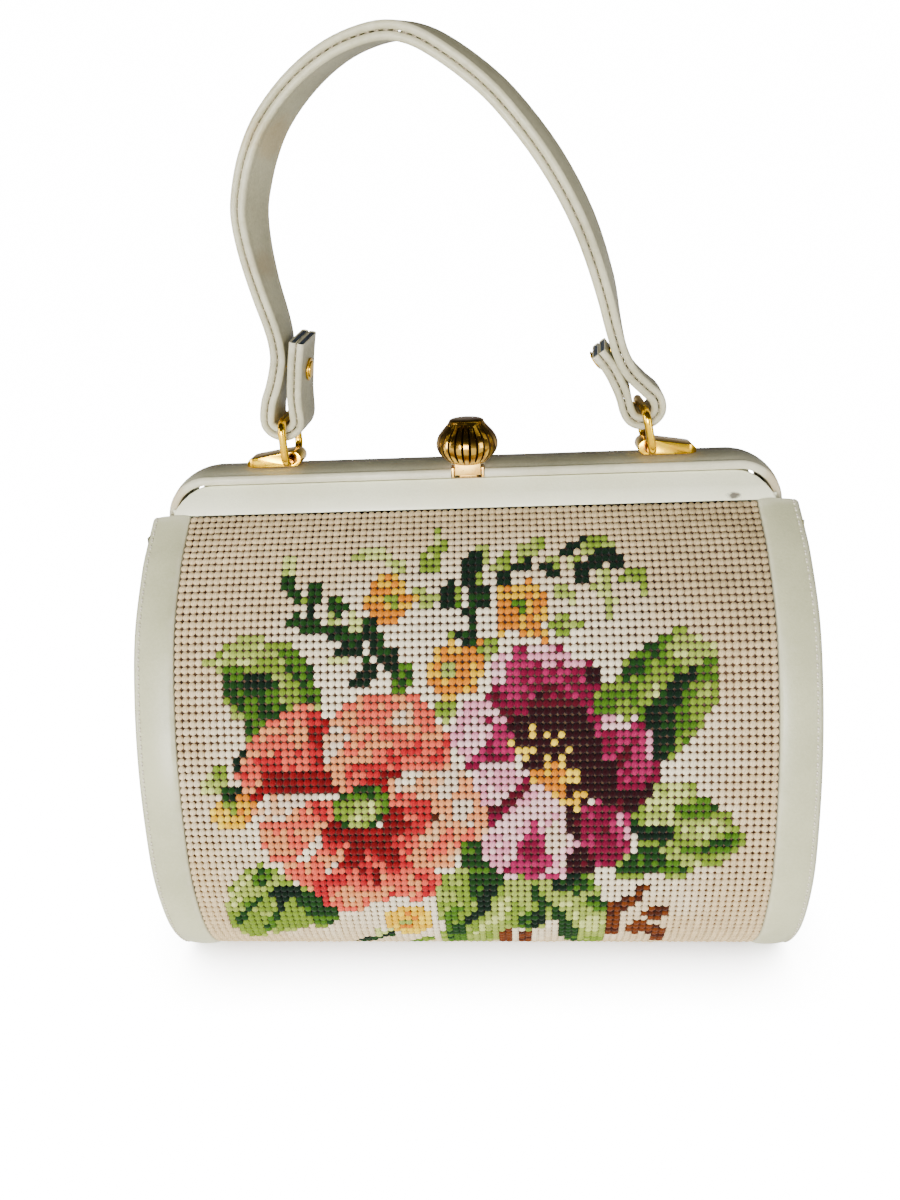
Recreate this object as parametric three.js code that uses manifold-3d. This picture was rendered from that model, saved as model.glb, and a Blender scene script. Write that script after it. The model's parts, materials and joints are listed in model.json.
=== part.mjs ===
// Needlepoint frame handbag: a barrel shaped body of stitched canvas and bone leather, closed at the
// top by a leather covered frame with a ribbed brass clasp, and carried by a two layer leather handle.
// Millimetres. X runs along the bag, -Y is the front, +Z is up, and Z = 0 is what it stands on.
import * as THREE from "three";
import { mergeVertices } from "three/addons/utils/BufferGeometryUtils.js";
import Module from "manifold-3d";

const wasm = await Module();
wasm.setup();

// Body
const bodyLength = 242; // over both leather bands
const bodyDepth = 150; // front bulge to rear bulge, over the stitching
const seamHeight = 172; // where the canvas meets the frame
const seamDepth = 38; // between the front and the rear top seam
const bandWidth = 16; // end of the canvas to the end of the bag
const panelLength = bodyLength - 2 * bandWidth; // stitched canvas between the bands
const canvasWall = 2.6; // canvas with its wool
const bandProud = 1.2; // how far the bands stand out of the stitching
const bandWall = 2.4; // padded leather
const bandRoll = 4.5; // how far the outer edge of a band rolls inwards
const gussetWall = 2.4;
const gussetDrop = 5; // from the seam down to the top of an end plate
const clearance = 0.3; // between neighbouring pieces

// Frame
const legInset = 3.4; // end of the bag to the outside of a frame leg
const frameHalfLength = bodyLength / 2 - legInset;
const crownRise = 14.8; // of the crown over the seam
const frameTop = seamHeight + crownRise;
const frameDepth = 26; // front lip to rear lip
const frameWall = 3.2; // leather covered steel at the lip
const frameCrown = 1.2; // rise of the crown over the lips
const frameCorner = 18; // outer corner radius
const legDrop = 16; // from the seam down to the end of a frame leg
const legBottom = seamHeight - legDrop;
const lipGap = 0.4; // between a lip and the half frame under it
const legGap = 0.2; // between a frame leg and the half frames in it
const halfFrameLength = frameHalfLength - frameCrown - frameWall - legGap;
const halfFrameWall = 2.8;
const halfFrameCorner = 15;
const halfLegWidth = 9;
const halfLegWall = 2.3;
const pinRadius = 1.5;
const pinRise = 4; // of a hinge pin over the end of its leg
const pinHeight = legBottom + pinRise;
const pinGap = 0.35;
const hingeEye = 3.6; // radius of the eyes round the hinge pins

// Clasp
const ballRadius = 11.5;
const ballHeight = 16.8;
const ballRise = 9; // of the ball's middle over the crown
const ballCentreHeight = frameTop + ballRise;
const ballSetback = 10; // of the ball's axis in front of the middle of the frame
const ribCount = 26;
const ribDepth = 0.55;
const buttonRadius = 6.4;
const leverWidth = 9.8;
const leverPinRadius = 0.9;
const leverPinSetback = 0.5; // in front of the ball's axis
const leverPinGap = 0.25;
const leverPinDrop = 1.6; // under the crown
const leverPinHeight = frameTop - leverPinDrop;
const leverThickness = 5.6; // front to back, under the ball
const tongueWall = 1.3;
const tongueDrop = 7; // below the lever pin
const notchWidth = 12.6;
const notchBack = -ballSetback + 0.6 * leverThickness;
const cheekWall = 0.8;

// Handle, rings and brackets
const bracketInset = 49.4; // outside of a frame leg to a bracket's hole
const bracketSpan = frameHalfLength - bracketInset;
const bracketLength = 22.3;
const bracketWidth = 11.2; // front to back
const bracketRise = 5.9; // to the top of its round end
const eyeSetback = 1.4; // of the hole from the middle of the round end
const eyeHole = 2.1;
const eyeHeight = clearance + bracketRise / 2; // of the hole over the crown
const ringWire = 1.5; // radius of the wire
const ringHeight = 15.75; // between the middles of the two bars
const ringHalfWidth = 13;
const ringCorner = 4;
const ringLean = 4; // degrees forward
const handleLean = 9.8; // degrees forward
const handleRise = 141; // crown to the top of the arch, along the lean
const strapWidth = 20;
const layerWall = 2.6;
const foldRadius = 5.8; // of the seam between the layers, round a ring's bar
const rivetHead = 4.2;
const rivetShaft = 1.1;
const rivetHeadWall = 1.1;
const rivetRise = 17.5; // over a ring's upper bar, along the tab
const rivetStop = 4.5; // from a rivet's hole to the seam of the strap behind the tab
const rivetDepth = 2 * foldRadius - rivetStop;

// Half of the body's outline, from the top seam to the base. out is a share of the bulge past the
// seam, and up is a share of the seam's height over the base.
const bodyRows = [
  { out: 0, up: 1 },
  { out: 0.171, up: 0.959 },
  { out: 0.334, up: 0.914 },
  { out: 0.604, up: 0.808 },
  { out: 0.784, up: 0.683 },
  { out: 0.907, up: 0.551 },
  { out: 0.977, up: 0.414 },
  { out: 1, up: 0.276 },
  { out: 0.93, up: 0.15 },
  { out: 0.81, up: 0.068 },
  { out: 0.64, up: 0.014 },
  { out: 0.45, up: 0 },
];

// A band's outer skin from the canvas to the end. along is a share of the band's width, proud a
// share of its height over the stitching and roll a share of its rolled edge.
const bandRows = [
  { along: 0, proud: 0.2, roll: 0 },
  { along: 0.05, proud: 0.85, roll: 0 },
  { along: 0.16, proud: 1, roll: 0 },
  { along: 0.6, proud: 1, roll: 0 },
  { along: 0.8, proud: 0.6, roll: 0 },
  { along: 0.92, proud: 0, roll: 0.15 },
  { along: 0.98, proud: 0, roll: 0.5 },
  { along: 1, proud: 0, roll: 1 },
];

// The seam between the handle's layers, over the arch. across runs from -1 over the left ring to 1
// over the right one, up is a share of the rise, drift a share of the strap's width backwards, and
// twist is in degrees.
const archRows = [
  { across: -1.063, up: 0.186, drift: 0, twist: 2 },
  { across: -1.028, up: 0.226, drift: 0, twist: 1 },
  { across: -1.001, up: 0.261, drift: 0, twist: 1 },
  { across: -0.979, up: 0.304, drift: 0.01, twist: 0 },
  { across: -0.976, up: 0.347, drift: 0.03, twist: 1 },
  { across: -0.988, up: 0.39, drift: 0.05, twist: 2 },
  { across: -1.023, up: 0.474, drift: 0.07, twist: 5 },
  { across: -1.049, up: 0.572, drift: 0.1, twist: 10 },
  { across: -1.048, up: 0.648, drift: 0.13, twist: 14 },
  { across: -1.02, up: 0.702, drift: 0.16, twist: 16 },
  { across: -0.963, up: 0.77, drift: 0.2, twist: 17 },
  { across: -0.88, up: 0.835, drift: 0.26, twist: 17 },
  { across: -0.724, up: 0.909, drift: 0.3, twist: 16 },
  { across: -0.546, up: 0.963, drift: 0.25, twist: 14 },
  { across: -0.386, up: 0.99, drift: 0.17, twist: 13 },
  { across: -0.237, up: 0.999, drift: 0.08, twist: 12 },
  { across: -0.12, up: 0.987, drift: 0.01, twist: 12 },
  { across: 0.003, up: 0.957, drift: -0.07, twist: 13 },
  { across: 0.17, up: 0.901, drift: -0.18, twist: 13 },
  { across: 0.282, up: 0.852, drift: -0.24, twist: 13 },
  { across: 0.48, up: 0.738, drift: -0.35, twist: 13 },
  { across: 0.647, up: 0.602, drift: -0.4, twist: 12 },
  { across: 0.764, up: 0.455, drift: -0.35, twist: 10 },
  { across: 0.819, up: 0.356, drift: -0.25, twist: 6 },
  { across: 0.864, up: 0.284, drift: -0.17, twist: 3 },
  { across: 0.92, up: 0.234, drift: -0.1, twist: 1 },
  { across: 1.002, up: 0.193, drift: -0.05, twist: 1 },
  { across: 1.07, up: 0.161, drift: -0.02, twist: 3 },
];

// The two tabs from a fold up to their cut ends, measured from the bar of their ring. towards and
// up are shares of the strap's width, towards the middle of the bag and upwards.
const tabs = {
  left: {
    foldTwist: 2,
    twist: 4,
    rows: [
      { towards: 0.295, up: 0.3 },
      { towards: 0.31, up: 0.5 },
      { towards: 0.35, up: 0.76 },
      { towards: 0.405, up: 1.08 },
      { towards: 0.49, up: 1.48 },
    ],
  },
  right: {
    foldTwist: 3,
    twist: 6,
    rows: [
      { towards: 0.35, up: 0.26 },
      { towards: 0.46, up: 0.52 },
      { towards: 0.61, up: 0.8 },
      { towards: 0.82, up: 1.08 },
    ],
  },
};
const tabStations = 9; // of the handle, at either end, that a rivet can stand at
const ringLeanAcross = { left: 0, right: -12 }; // degrees that each ring leans to the right

const bone = { color: 0xcdcfc2, roughness: 0.42, metalness: 0 };
const wool = { color: 0xd7c8aa, roughness: 0.95, metalness: 0 };
const brass = { color: 0xd9a93a, roughness: 0.24, metalness: 1 };
const steel = { color: 0x9a9a96, roughness: 0.4, metalness: 1 };

const radians = THREE.MathUtils.degToRad;
const mirrorRear = (points) => points.map(([y, z]) => [-y, z]);

// A closed mesh as a solid, a solid as a mesh's geometry, and the two ways to combine solids.
function solid(geometry) {
  const bare = new THREE.BufferGeometry().setAttribute("position", geometry.getAttribute("position"));
  if (geometry.index) bare.setIndex(geometry.index);
  const merged = mergeVertices(bare, 1e-4);
  const triVerts = new Uint32Array(merged.index.array);
  const vertProperties = merged.attributes.position.array;
  return new wasm.Manifold(new wasm.Mesh({ numProp: 3, vertProperties, triVerts }));
}

function geometryOf(body) {
  const mesh = body.getMesh();
  const geometry = new THREE.BufferGeometry();
  geometry.setAttribute("position", new THREE.BufferAttribute(new Float32Array(mesh.vertProperties), 3));
  geometry.setIndex(new THREE.BufferAttribute(new Uint32Array(mesh.triVerts), 1));
  return geometry;
}

const join = (first, ...others) => others.reduce((sum, next) => sum.add(next), first);
const cut = (first, ...others) => others.reduce((rest, next) => rest.subtract(next), first);

// An outline of [a, b] points pushed along an axis: alongX reads them as y, z and alongY as x, z.
const outline = (points) => new THREE.Shape(points.map(([a, b]) => new THREE.Vector2(a, b)));

function alongX(points, from, to) {
  const options = { depth: to - from, bevelEnabled: false };
  const geometry = new THREE.ExtrudeGeometry(outline(points), options);
  const turn = new THREE.Matrix4().makeBasis(
    new THREE.Vector3(0, 1, 0),
    new THREE.Vector3(0, 0, 1),
    new THREE.Vector3(1, 0, 0),
  );
  return geometry.applyMatrix4(turn).translate(from, 0, 0);
}

function alongY(points, from, to) {
  const options = { depth: to - from, bevelEnabled: false };
  const geometry = new THREE.ExtrudeGeometry(outline(points), options);
  return geometry.rotateX(Math.PI / 2).translate(0, to, 0);
}

function box(low, high) {
  const [x, y, z] = low.map((value, axis) => high[axis] - value);
  const geometry = new THREE.BoxGeometry(x, y, z);
  return geometry.translate(...low.map((value, axis) => (value + high[axis]) / 2));
}

// A rod of a radius between two points.
function rod(start, end, radius, sides = 12) {
  const axis = new THREE.Vector3().subVectors(end, start);
  const geometry = new THREE.CylinderGeometry(radius, radius, axis.length(), sides);
  const turn = new THREE.Quaternion().setFromUnitVectors(
    new THREE.Vector3(0, 1, 0),
    axis.clone().normalize(),
  );
  const middle = new THREE.Vector3().addVectors(start, end).multiplyScalar(0.5);
  return geometry.applyQuaternion(turn).translate(middle.x, middle.y, middle.z);
}

// Closed loops of points with one skin over them. flat is the section that caps the two ends, and
// without it the last loop joins the first.
function skin(loops, flat) {
  const size = loops[0].length;
  const positions = loops.flat().flatMap((point) => [point.x, point.y, point.z]);
  const index = [];
  const spans = flat ? loops.length - 1 : loops.length;
  for (let i = 0; i < spans; i++) {
    for (let j = 0; j < size; j++) {
      const a = i * size + j;
      const b = i * size + ((j + 1) % size);
      const c = ((i + 1) % loops.length) * size + j;
      const d = ((i + 1) % loops.length) * size + ((j + 1) % size);
      index.push(a, b, c, b, d, c);
    }
  }
  if (flat) {
    const last = (loops.length - 1) * size;
    // A section that runs clockwise is turned round by the triangulation, so its faces are too.
    const turned = THREE.ShapeUtils.isClockWise(flat);
    for (const [a, b, c] of THREE.ShapeUtils.triangulateShape(flat, [])) {
      const face = turned ? [a, b, c] : [a, c, b];
      index.push(...face, ...[...face].reverse().map((corner) => last + corner));
    }
  }
  return facingOut(positions, index);
}

// The mesh with its faces pointing out, whichever way its loops ran.
function facingOut(positions, index) {
  let volume = 0;
  const corner = (k) => new THREE.Vector3().fromArray(positions, index[k] * 3);
  for (let k = 0; k < index.length; k += 3) {
    volume += corner(k).dot(corner(k + 1).cross(corner(k + 2)));
  }
  const faces = volume < 0 ? [...index].reverse() : index;
  const geometry = new THREE.BufferGeometry().setIndex(faces);
  return geometry.setAttribute("position", new THREE.Float32BufferAttribute(positions, 3));
}

// The body's outline, down the front, along the base and up the rear, with outward normals.
function bodyStations() {
  const reach = (bodyDepth - seamDepth) / 2;
  const rise = seamHeight - bandProud;
  const points = bodyRows.map(
    (row) => new THREE.Vector2(-seamDepth / 2 - row.out * reach, bandProud + row.up * rise),
  );
  const front = new THREE.SplineCurve(points).getSpacedPoints(22);
  const rear = front.map((point) => new THREE.Vector2(-point.x, point.y)).reverse();
  const path = [...front, ...rear];
  return path.map((point, i) => {
    const before = path[Math.max(i - 1, 0)];
    const after = path[Math.min(i + 1, path.length - 1)];
    const along = new THREE.Vector2().subVectors(after, before).normalize();
    return { y: point.x, z: point.y, outY: along.y, outZ: -along.x };
  });
}

const body = bodyStations();
const offsetOutline = (offset) =>
  body.map((at) => [at.y + at.outY * offset, at.z + at.outZ * offset]);

// The stitched canvas, one wall down the front, under the base and up the rear.
function needlepointPanel() {
  const wall = [...offsetOutline(0), ...offsetOutline(-canvasWall).reverse()];
  return alongX(wall, -panelLength / 2, panelLength / 2);
}

// A leather band with its rolled outer edge. side is -1 on the left and 1 on the right.
function sideBand(side) {
  const start = panelLength / 2 + clearance;
  const end = bodyLength / 2;
  const outer = bandRows.map((row) => [
    start + row.along * (end - start),
    row.proud * bandProud - row.roll * bandRoll,
  ]);
  const inner = [
    [end - bandWall, -bandRoll],
    [end - 1.5 * bandWall, -1.5 * bandWall],
    [end - 3 * bandWall, bandProud - 1.4 * bandWall],
    [start, bandProud - 1.4 * bandWall],
  ];
  const section = [...outer, ...inner];
  const loops = body.map((at) =>
    section.map(([x, lift]) => new THREE.Vector3(side * x, at.y + at.outY * lift, at.z + at.outZ * lift)),
  );
  return skin(
    loops,
    section.map(([x, lift]) => new THREE.Vector2(x, lift)),
  );
}

// An end plate inside a band, notched for the frame's leg.
function endGusset(side) {
  const outside = bodyLength / 2 - bandWall - clearance;
  const span = [side * outside, side * (outside - gussetWall)].sort((a, b) => a - b);
  const plate = solid(alongX(offsetOutline(-bandRoll - clearance / 2), ...span));
  const far = bodyLength;
  const notchHalf = frameDepth / 2 + clearance;
  const above = solid(box([-far, -far, seamHeight - gussetDrop], [far, far, far]));
  const notch = solid(box([-far, -notchHalf, legBottom - clearance], [far, notchHalf, far]));
  return geometryOf(cut(plate, above, notch));
}

// An arch of two legs and rounded corners, seen from the front, with outward normals.
function archStations(half, top, corner, bottom) {
  const stations = [{ x: -half, z: bottom, outX: -1, outZ: 0 }];
  const steps = 8;
  for (const side of [-1, 1]) {
    for (let i = 0; i <= steps; i++) {
      const angle = side < 0 ? Math.PI - (i / steps) * (Math.PI / 2) : ((steps - i) / steps) * (Math.PI / 2);
      const outX = Math.cos(angle);
      const outZ = Math.sin(angle);
      stations.push({
        x: side * (half - corner) + corner * outX,
        z: top - corner + corner * outZ,
        outX,
        outZ,
      });
    }
  }
  stations.push({ x: half, z: bottom, outX: 1, outZ: 0 });
  return stations;
}

// The leather covered strip over the top, with crowned back, round edges and a notch for the clasp.
function topFrame() {
  const half = frameDepth / 2;
  const section = [
    [-half, -frameWall],
    [-half, -1],
    [-half + 0.8, 0],
    [-half / 2, 0.72 * frameCrown],
    [0, frameCrown],
    [half / 2, 0.72 * frameCrown],
    [half - 0.8, 0],
    [half, -1],
    [half, -frameWall],
  ];
  const stations = archStations(
    frameHalfLength - frameCrown,
    frameTop - frameCrown,
    frameCorner - frameCrown,
    legBottom,
  );
  const loops = stations.map((at) =>
    section.map(([y, lift]) => new THREE.Vector3(at.x + at.outX * lift, y, at.z + at.outZ * lift)),
  );
  const strip = solid(
    skin(
      loops,
      section.map(([y, lift]) => new THREE.Vector2(y, lift)),
    ),
  );
  const notch = box(
    [-notchWidth / 2, -frameDepth, frameTop - 3 * frameWall],
    [notchWidth / 2, notchBack, frameTop + frameWall],
  );
  return geometryOf(cut(strip, solid(notch), hingeHoles()));
}

// The holes that a hinge pin passes, on both sides of the bag.
function hingeHoles() {
  const start = new THREE.Vector3(-frameHalfLength - frameWall, 0, pinHeight);
  const end = new THREE.Vector3(frameHalfLength + frameWall, 0, pinHeight);
  return solid(rod(start, end, pinRadius + pinGap));
}

// A half frame: a sloping face under the lip, cut to the arch's round corners, with two legs that
// reach in to the hinge pins. side is -1 for the front and 1 for the rear.
function halfFrame(side) {
  const lipBottom = frameTop - frameCrown - frameWall - lipGap;
  const top = -frameDepth / 2 + 0.4;
  const seam = -seamDepth / 2;
  const middle = (top + seam) / 2 - 0.9;
  const lift = (lipBottom - seamHeight) / 2;
  const frontFace = [
    [top + 0.6, lipBottom],
    [top, lipBottom - 0.7],
    [middle, seamHeight + lift],
    [seam, seamHeight + 1.2],
    [seam, seamHeight + clearance],
    [seam + halfFrameWall, seamHeight + clearance],
    [top + halfFrameWall, lipBottom],
  ];
  const section = side < 0 ? frontFace : mirrorRear(frontFace);
  const face = solid(alongX(section, -halfFrameLength, halfFrameLength));
  const arch = archStations(halfFrameLength, lipBottom, halfFrameCorner, legBottom);
  const front = solid(
    alongY(
      arch.map((at) => [at.x, at.z]),
      -bodyDepth / 2,
      bodyDepth / 2,
    ),
  );
  const outerLeg = frameDepth / 2 + clearance;
  const legs = [-1, 1].map((end) => {
    const wallOut = halfFrameLength - (side < 0 ? 0 : halfLegWall + clearance);
    const plateX = [end * wallOut, end * (wallOut - halfLegWall)].sort((a, b) => a - b);
    const legX = [end * wallOut, end * (halfFrameLength - halfLegWidth)].sort((a, b) => a - b);
    const legY = [side * outerLeg, side * (outerLeg + halfLegWall)].sort((a, b) => a - b);
    const toeY = [0, side * (outerLeg + halfLegWall)].sort((a, b) => a - b);
    const leg = solid(box([legX[0], legY[0], legBottom], [legX[1], legY[1], seamHeight + 2]));
    const toeLow = [plateX[0], toeY[0], pinHeight - hingeEye];
    const toe = solid(box(toeLow, [plateX[1], toeY[1], pinHeight + hingeEye]));
    const eye = rod(
      new THREE.Vector3(plateX[0], 0, pinHeight),
      new THREE.Vector3(plateX[1], 0, pinHeight),
      hingeEye,
      16,
    );
    return join(leg, toe, solid(eye));
  });
  return geometryOf(cut(join(face.intersect(front), ...legs), hingeHoles()));
}

// A plain pin through the three legs at one end of the bag.
function hingePin(side) {
  const outer = frameHalfLength - frameCrown - 0.5;
  const inner = halfFrameLength - 3 * halfLegWall;
  const start = new THREE.Vector3(side * inner, 0, pinHeight);
  const end = new THREE.Vector3(side * outer, 0, pinHeight);
  return rod(start, end, pinRadius);
}

// The clasp's two cheeks in the notch, joined by the pin that the lever turns on.
function claspHousing() {
  const outer = notchWidth / 2 - clearance;
  const front = -frameDepth / 2 + 0.1;
  const back = notchBack - clearance;
  const bottom = frameTop - frameCrown - frameWall + 0.1;
  const cheeks = [-1, 1].map((side) => {
    const [low, high] = [side * outer, side * (outer - cheekWall)].sort((a, b) => a - b);
    return solid(box([low, front, bottom], [high, back, frameTop - 0.6]));
  });
  const reach = outer - cheekWall / 2;
  return geometryOf(join(...cheeks, solid(leverRod(reach, leverPinRadius))));
}

// A rod along the axis that the lever turns on.
function leverRod(reach, radius) {
  const y = -ballSetback - leverPinSetback;
  const start = new THREE.Vector3(-reach, y, leverPinHeight);
  const end = new THREE.Vector3(reach, y, leverPinHeight);
  return rod(start, end, radius);
}

// The ribbed ball: rings round an upright axis whose radius dips between the ribs, narrowing like an
// onion to a smooth button.
function ball() {
  const rows = [
    { up: -1, out: 0.42, rib: 0 },
    { up: -0.86, out: 0.64, rib: 0.5 },
    { up: -0.55, out: 0.88, rib: 1 },
    { up: -0.16, out: 1, rib: 1 },
    { up: 0.18, out: 0.95, rib: 1 },
    { up: 0.44, out: 0.82, rib: 1 },
    { up: 0.64, out: 0.68, rib: 1 },
    { up: 0.78, out: 0.6, rib: 0.5 },
    { up: 0.84, out: buttonRadius / ballRadius, rib: 0 },
    { up: 0.96, out: (0.9 * buttonRadius) / ballRadius, rib: 0 },
    { up: 1, out: (0.6 * buttonRadius) / ballRadius, rib: 0 },
  ];
  const sides = 2 * ribCount;
  const loops = rows.map((row) =>
    Array.from({ length: sides }, (_, i) => {
      const angle = (i / sides) * 2 * Math.PI;
      const radius = row.out * ballRadius - (i % 2) * row.rib * ribDepth;
      return new THREE.Vector3(
        radius * Math.cos(angle),
        radius * Math.sin(angle) - ballSetback,
        ballCentreHeight + (row.up * ballHeight) / 2,
      );
    }),
  );
  return skin(
    loops,
    loops[0].map((point) => new THREE.Vector2(point.x, point.y)),
  );
}

// The clasp's lever: the ball, the block under it that turns on the pin, and the tongue that holds
// the front half frame from behind.
function claspKnob() {
  const half = leverWidth / 2;
  const front = -ballSetback - leverThickness / 2 - 0.4;
  const back = -ballSetback + 0.43 * leverThickness;
  const bottom = leverPinHeight - leverPinRadius - 1;
  const top = ballCentreHeight - 0.4 * ballHeight;
  const block = solid(box([-half, front, bottom], [half, back, top]));
  const tongueLow = [-0.7 * half, back - tongueWall, leverPinHeight - tongueDrop];
  const tongue = solid(box(tongueLow, [0.7 * half, back, leverPinHeight]));
  const bore = leverRod(leverWidth, leverPinRadius + leverPinGap);
  return geometryOf(cut(join(solid(ball()), block, tongue), solid(bore)));
}

// A solid brass bracket on the crown: a wedge that is pointed towards the end of the bag and rises to
// a round end, with the hole that carries a ring.
function handleBracket(side) {
  const seat = frameTop + clearance;
  const endRadius = bracketRise / 2;
  const eye = { x: bracketSpan, z: frameTop + eyeHeight };
  const endX = eye.x - eyeSetback;
  const tip = endX - endRadius + bracketLength;
  const profile = [
    [tip, seat],
    [tip, seat + 0.2 * bracketRise],
    [tip - 0.1 * bracketLength, seat + 0.58 * bracketRise],
    [eye.x + 0.12 * bracketLength, seat + 0.92 * bracketRise],
  ];
  for (let i = 0; i <= 10; i++) {
    const angle = Math.PI / 2 + (i / 10) * Math.PI;
    profile.push([endX + endRadius * Math.cos(angle), seat + endRadius * (1 + Math.sin(angle))]);
  }
  const placed = profile.map(([x, z]) => [side * x, z]);
  const wedge = alongY(side < 0 ? placed.reverse() : placed, -bracketWidth / 2, bracketWidth / 2);
  const hole = rod(
    new THREE.Vector3(side * eye.x, -bracketWidth, eye.z),
    new THREE.Vector3(side * eye.x, bracketWidth, eye.z),
    eyeHole,
    16,
  );
  return geometryOf(cut(solid(wedge), solid(hole)));
}

// Where a ring's two bars lie: its lower bar in the bracket, its upper bar in the handle's fold.
function ringAxes(side) {
  const lean = radians(ringLean);
  const across = radians(side < 0 ? ringLeanAcross.left : ringLeanAcross.right);
  const width = new THREE.Vector3(0, Math.cos(lean), Math.sin(lean));
  const rise = new THREE.Vector3(
    Math.sin(across),
    -Math.cos(across) * Math.sin(lean),
    Math.cos(across) * Math.cos(lean),
  );
  const lower = new THREE.Vector3(side * bracketSpan, 0, frameTop + eyeHeight);
  const upper = lower.clone().addScaledVector(rise, ringHeight);
  return { width, rise, lower, upper };
}

// An oval brass ring, a wire bent round a rounded rectangle and closed.
function handleRing(side) {
  const { width, rise, lower } = ringAxes(side);
  const centre = lower.clone().addScaledVector(rise, ringHeight / 2);
  const normal = new THREE.Vector3().crossVectors(width, rise);
  const route = [];
  const steps = 4;
  for (let quarter = 0; quarter < 4; quarter++) {
    const signA = quarter === 0 || quarter === 3 ? 1 : -1;
    const signB = quarter < 2 ? 1 : -1;
    for (let i = 0; i <= steps; i++) {
      const angle = ((quarter + i / steps) * Math.PI) / 2;
      const a = signA * (ringHalfWidth - ringCorner) + ringCorner * Math.cos(angle);
      const b = signB * (ringHeight / 2 - ringCorner) + ringCorner * Math.sin(angle);
      const outA = Math.cos(angle);
      const outB = Math.sin(angle);
      route.push({ a, b, outA, outB });
    }
  }
  const sides = 10;
  const loops = route.map((at) => {
    const middle = centre.clone().addScaledVector(width, at.a).addScaledVector(rise, at.b);
    const out = width.clone().multiplyScalar(at.outA).addScaledVector(rise, at.outB);
    return Array.from({ length: sides }, (_, i) => {
      const angle = (i / sides) * 2 * Math.PI;
      const point = middle.clone().addScaledVector(out, ringWire * Math.cos(angle));
      return point.addScaledVector(normal, ringWire * Math.sin(angle));
    });
  });
  return skin(loops);
}

// A point of the handle's leaning plane, x across and up along the lean, moved back by drift.
function handlePoint(x, up, drift) {
  const lean = radians(handleLean);
  const { upper } = ringAxes(-1);
  const footUp = (upper.z - frameTop) / Math.cos(lean);
  const y = upper.y - (up - footUp) * Math.sin(lean) + drift * Math.cos(lean);
  return new THREE.Vector3(x, y, frameTop + up * Math.cos(lean) + drift * Math.sin(lean));
}

// The seam between the handle's layers from the left tab's end, round the left ring, over the arch,
// round the right ring and up the right tab, as stations with a width and an outward direction.
function handleStations() {
  const lean = radians(handleLean);
  const points = [];
  const twists = [];
  const put = (x, up, drift, twist) => {
    points.push(handlePoint(x, up, drift));
    twists.push(twist);
  };
  const tabRow = (side, name, row) => {
    const { upper } = ringAxes(side);
    const up = (upper.z - frameTop) / Math.cos(lean) + row.up * strapWidth;
    put(upper.x - side * row.towards * strapWidth, up, 0, tabs[name].twist);
  };
  const fold = (side, twist) => {
    const { upper } = ringAxes(side);
    const foot = (upper.z - frameTop) / Math.cos(lean) + foldRadius - layerWall - 2 * clearance - ringWire;
    for (const angle of [-20, -55, -90, -125, -160]) {
      const x = upper.x + foldRadius * Math.cos(radians(angle));
      put(x, foot + foldRadius * Math.sin(radians(angle)), 0, twist);
    }
  };
  [...tabs.left.rows].reverse().forEach((row) => tabRow(-1, "left", row));
  fold(-1, tabs.left.foldTwist);
  const [left, right] = [ringAxes(-1).upper.x, ringAxes(1).upper.x];
  archRows.forEach((row) => {
    const x = THREE.MathUtils.lerp(left, right, (row.across + 1) / 2);
    put(x, row.up * handleRise, row.drift * strapWidth, row.twist);
  });
  fold(1, tabs.right.foldTwist);
  tabs.right.rows.forEach((row) => tabRow(1, "right", row));

  const curve = new THREE.CatmullRomCurve3(points, false, "centripetal");
  const spans = points.length - 1;
  const count = 2 * spans;
  return Array.from({ length: count + 1 }, (_, i) => {
    const place = (i / count) * spans;
    const row = Math.min(Math.floor(place), spans - 1);
    const twist = radians(THREE.MathUtils.lerp(twists[row], twists[row + 1], place - row));
    const at = curve.getPoint(i / count);
    // The strap lies level on its ring's bar and tips to the handle's own lean above the tab.
    const risen = THREE.MathUtils.smoothstep(at.z - ringAxes(-1).upper.z, 0, 2 * strapWidth);
    const tip = radians(THREE.MathUtils.lerp(ringLean, handleLean, risen));
    const width = new THREE.Vector3(
      Math.sin(twist),
      Math.cos(twist) * Math.cos(tip),
      Math.cos(twist) * Math.sin(tip),
    );
    const along = curve.getTangent(i / count);
    const out = new THREE.Vector3().crossVectors(along, width).normalize();
    return { at, width, out };
  });
}

const handle = handleStations();

// One layer of the handle, a strap with rounded edges. layer is 1 for the outer and -1 for the inner.
function handleLayer(layer) {
  const half = strapWidth / 2;
  const near = clearance / 2;
  const far = near + layerWall;
  const section = [
    [-half, near + 0.5],
    [-half + 0.5, near],
    [half - 0.5, near],
    [half, near + 0.5],
    [half, far - 1],
    [half - 1, far - 0.1],
    [0.45 * half, far],
    [-0.45 * half, far],
    [-half + 1, far - 0.1],
    [-half, far - 1],
  ];
  const loops = handle.map((station) =>
    section.map(([across, lift]) => {
      const point = station.at.clone().addScaledVector(station.width, across);
      return point.addScaledVector(station.out, layer * lift);
    }),
  );
  const strap = skin(
    loops,
    section.map(([across, lift]) => new THREE.Vector2(across, layer * lift)),
  );
  return geometryOf(cut(solid(strap), rivetHole(-1), rivetHole(1)));
}

// Where a rivet stands: the middle of its tab, and the direction that its head faces.
function rivetAxis(side) {
  const { upper } = ringAxes(side);
  const tab = side < 0 ? handle.slice(0, tabStations) : handle.slice(-tabStations);
  const goal = upper.z + rivetRise;
  const near = (a, b) => (Math.abs(a.at.z - goal) < Math.abs(b.at.z - goal) ? a : b);
  const station = tab.reduce(near);
  return { at: station.at, out: station.out };
}

function rivetRod(side, radius, from, to) {
  const { at, out } = rivetAxis(side);
  const start = at.clone().addScaledVector(out, from);
  const end = at.clone().addScaledVector(out, to);
  return solid(rod(start, end, radius, 14));
}

const rivetHole = (side) => rivetRod(side, rivetShaft + clearance, -rivetDepth, 2 * layerWall);

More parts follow.
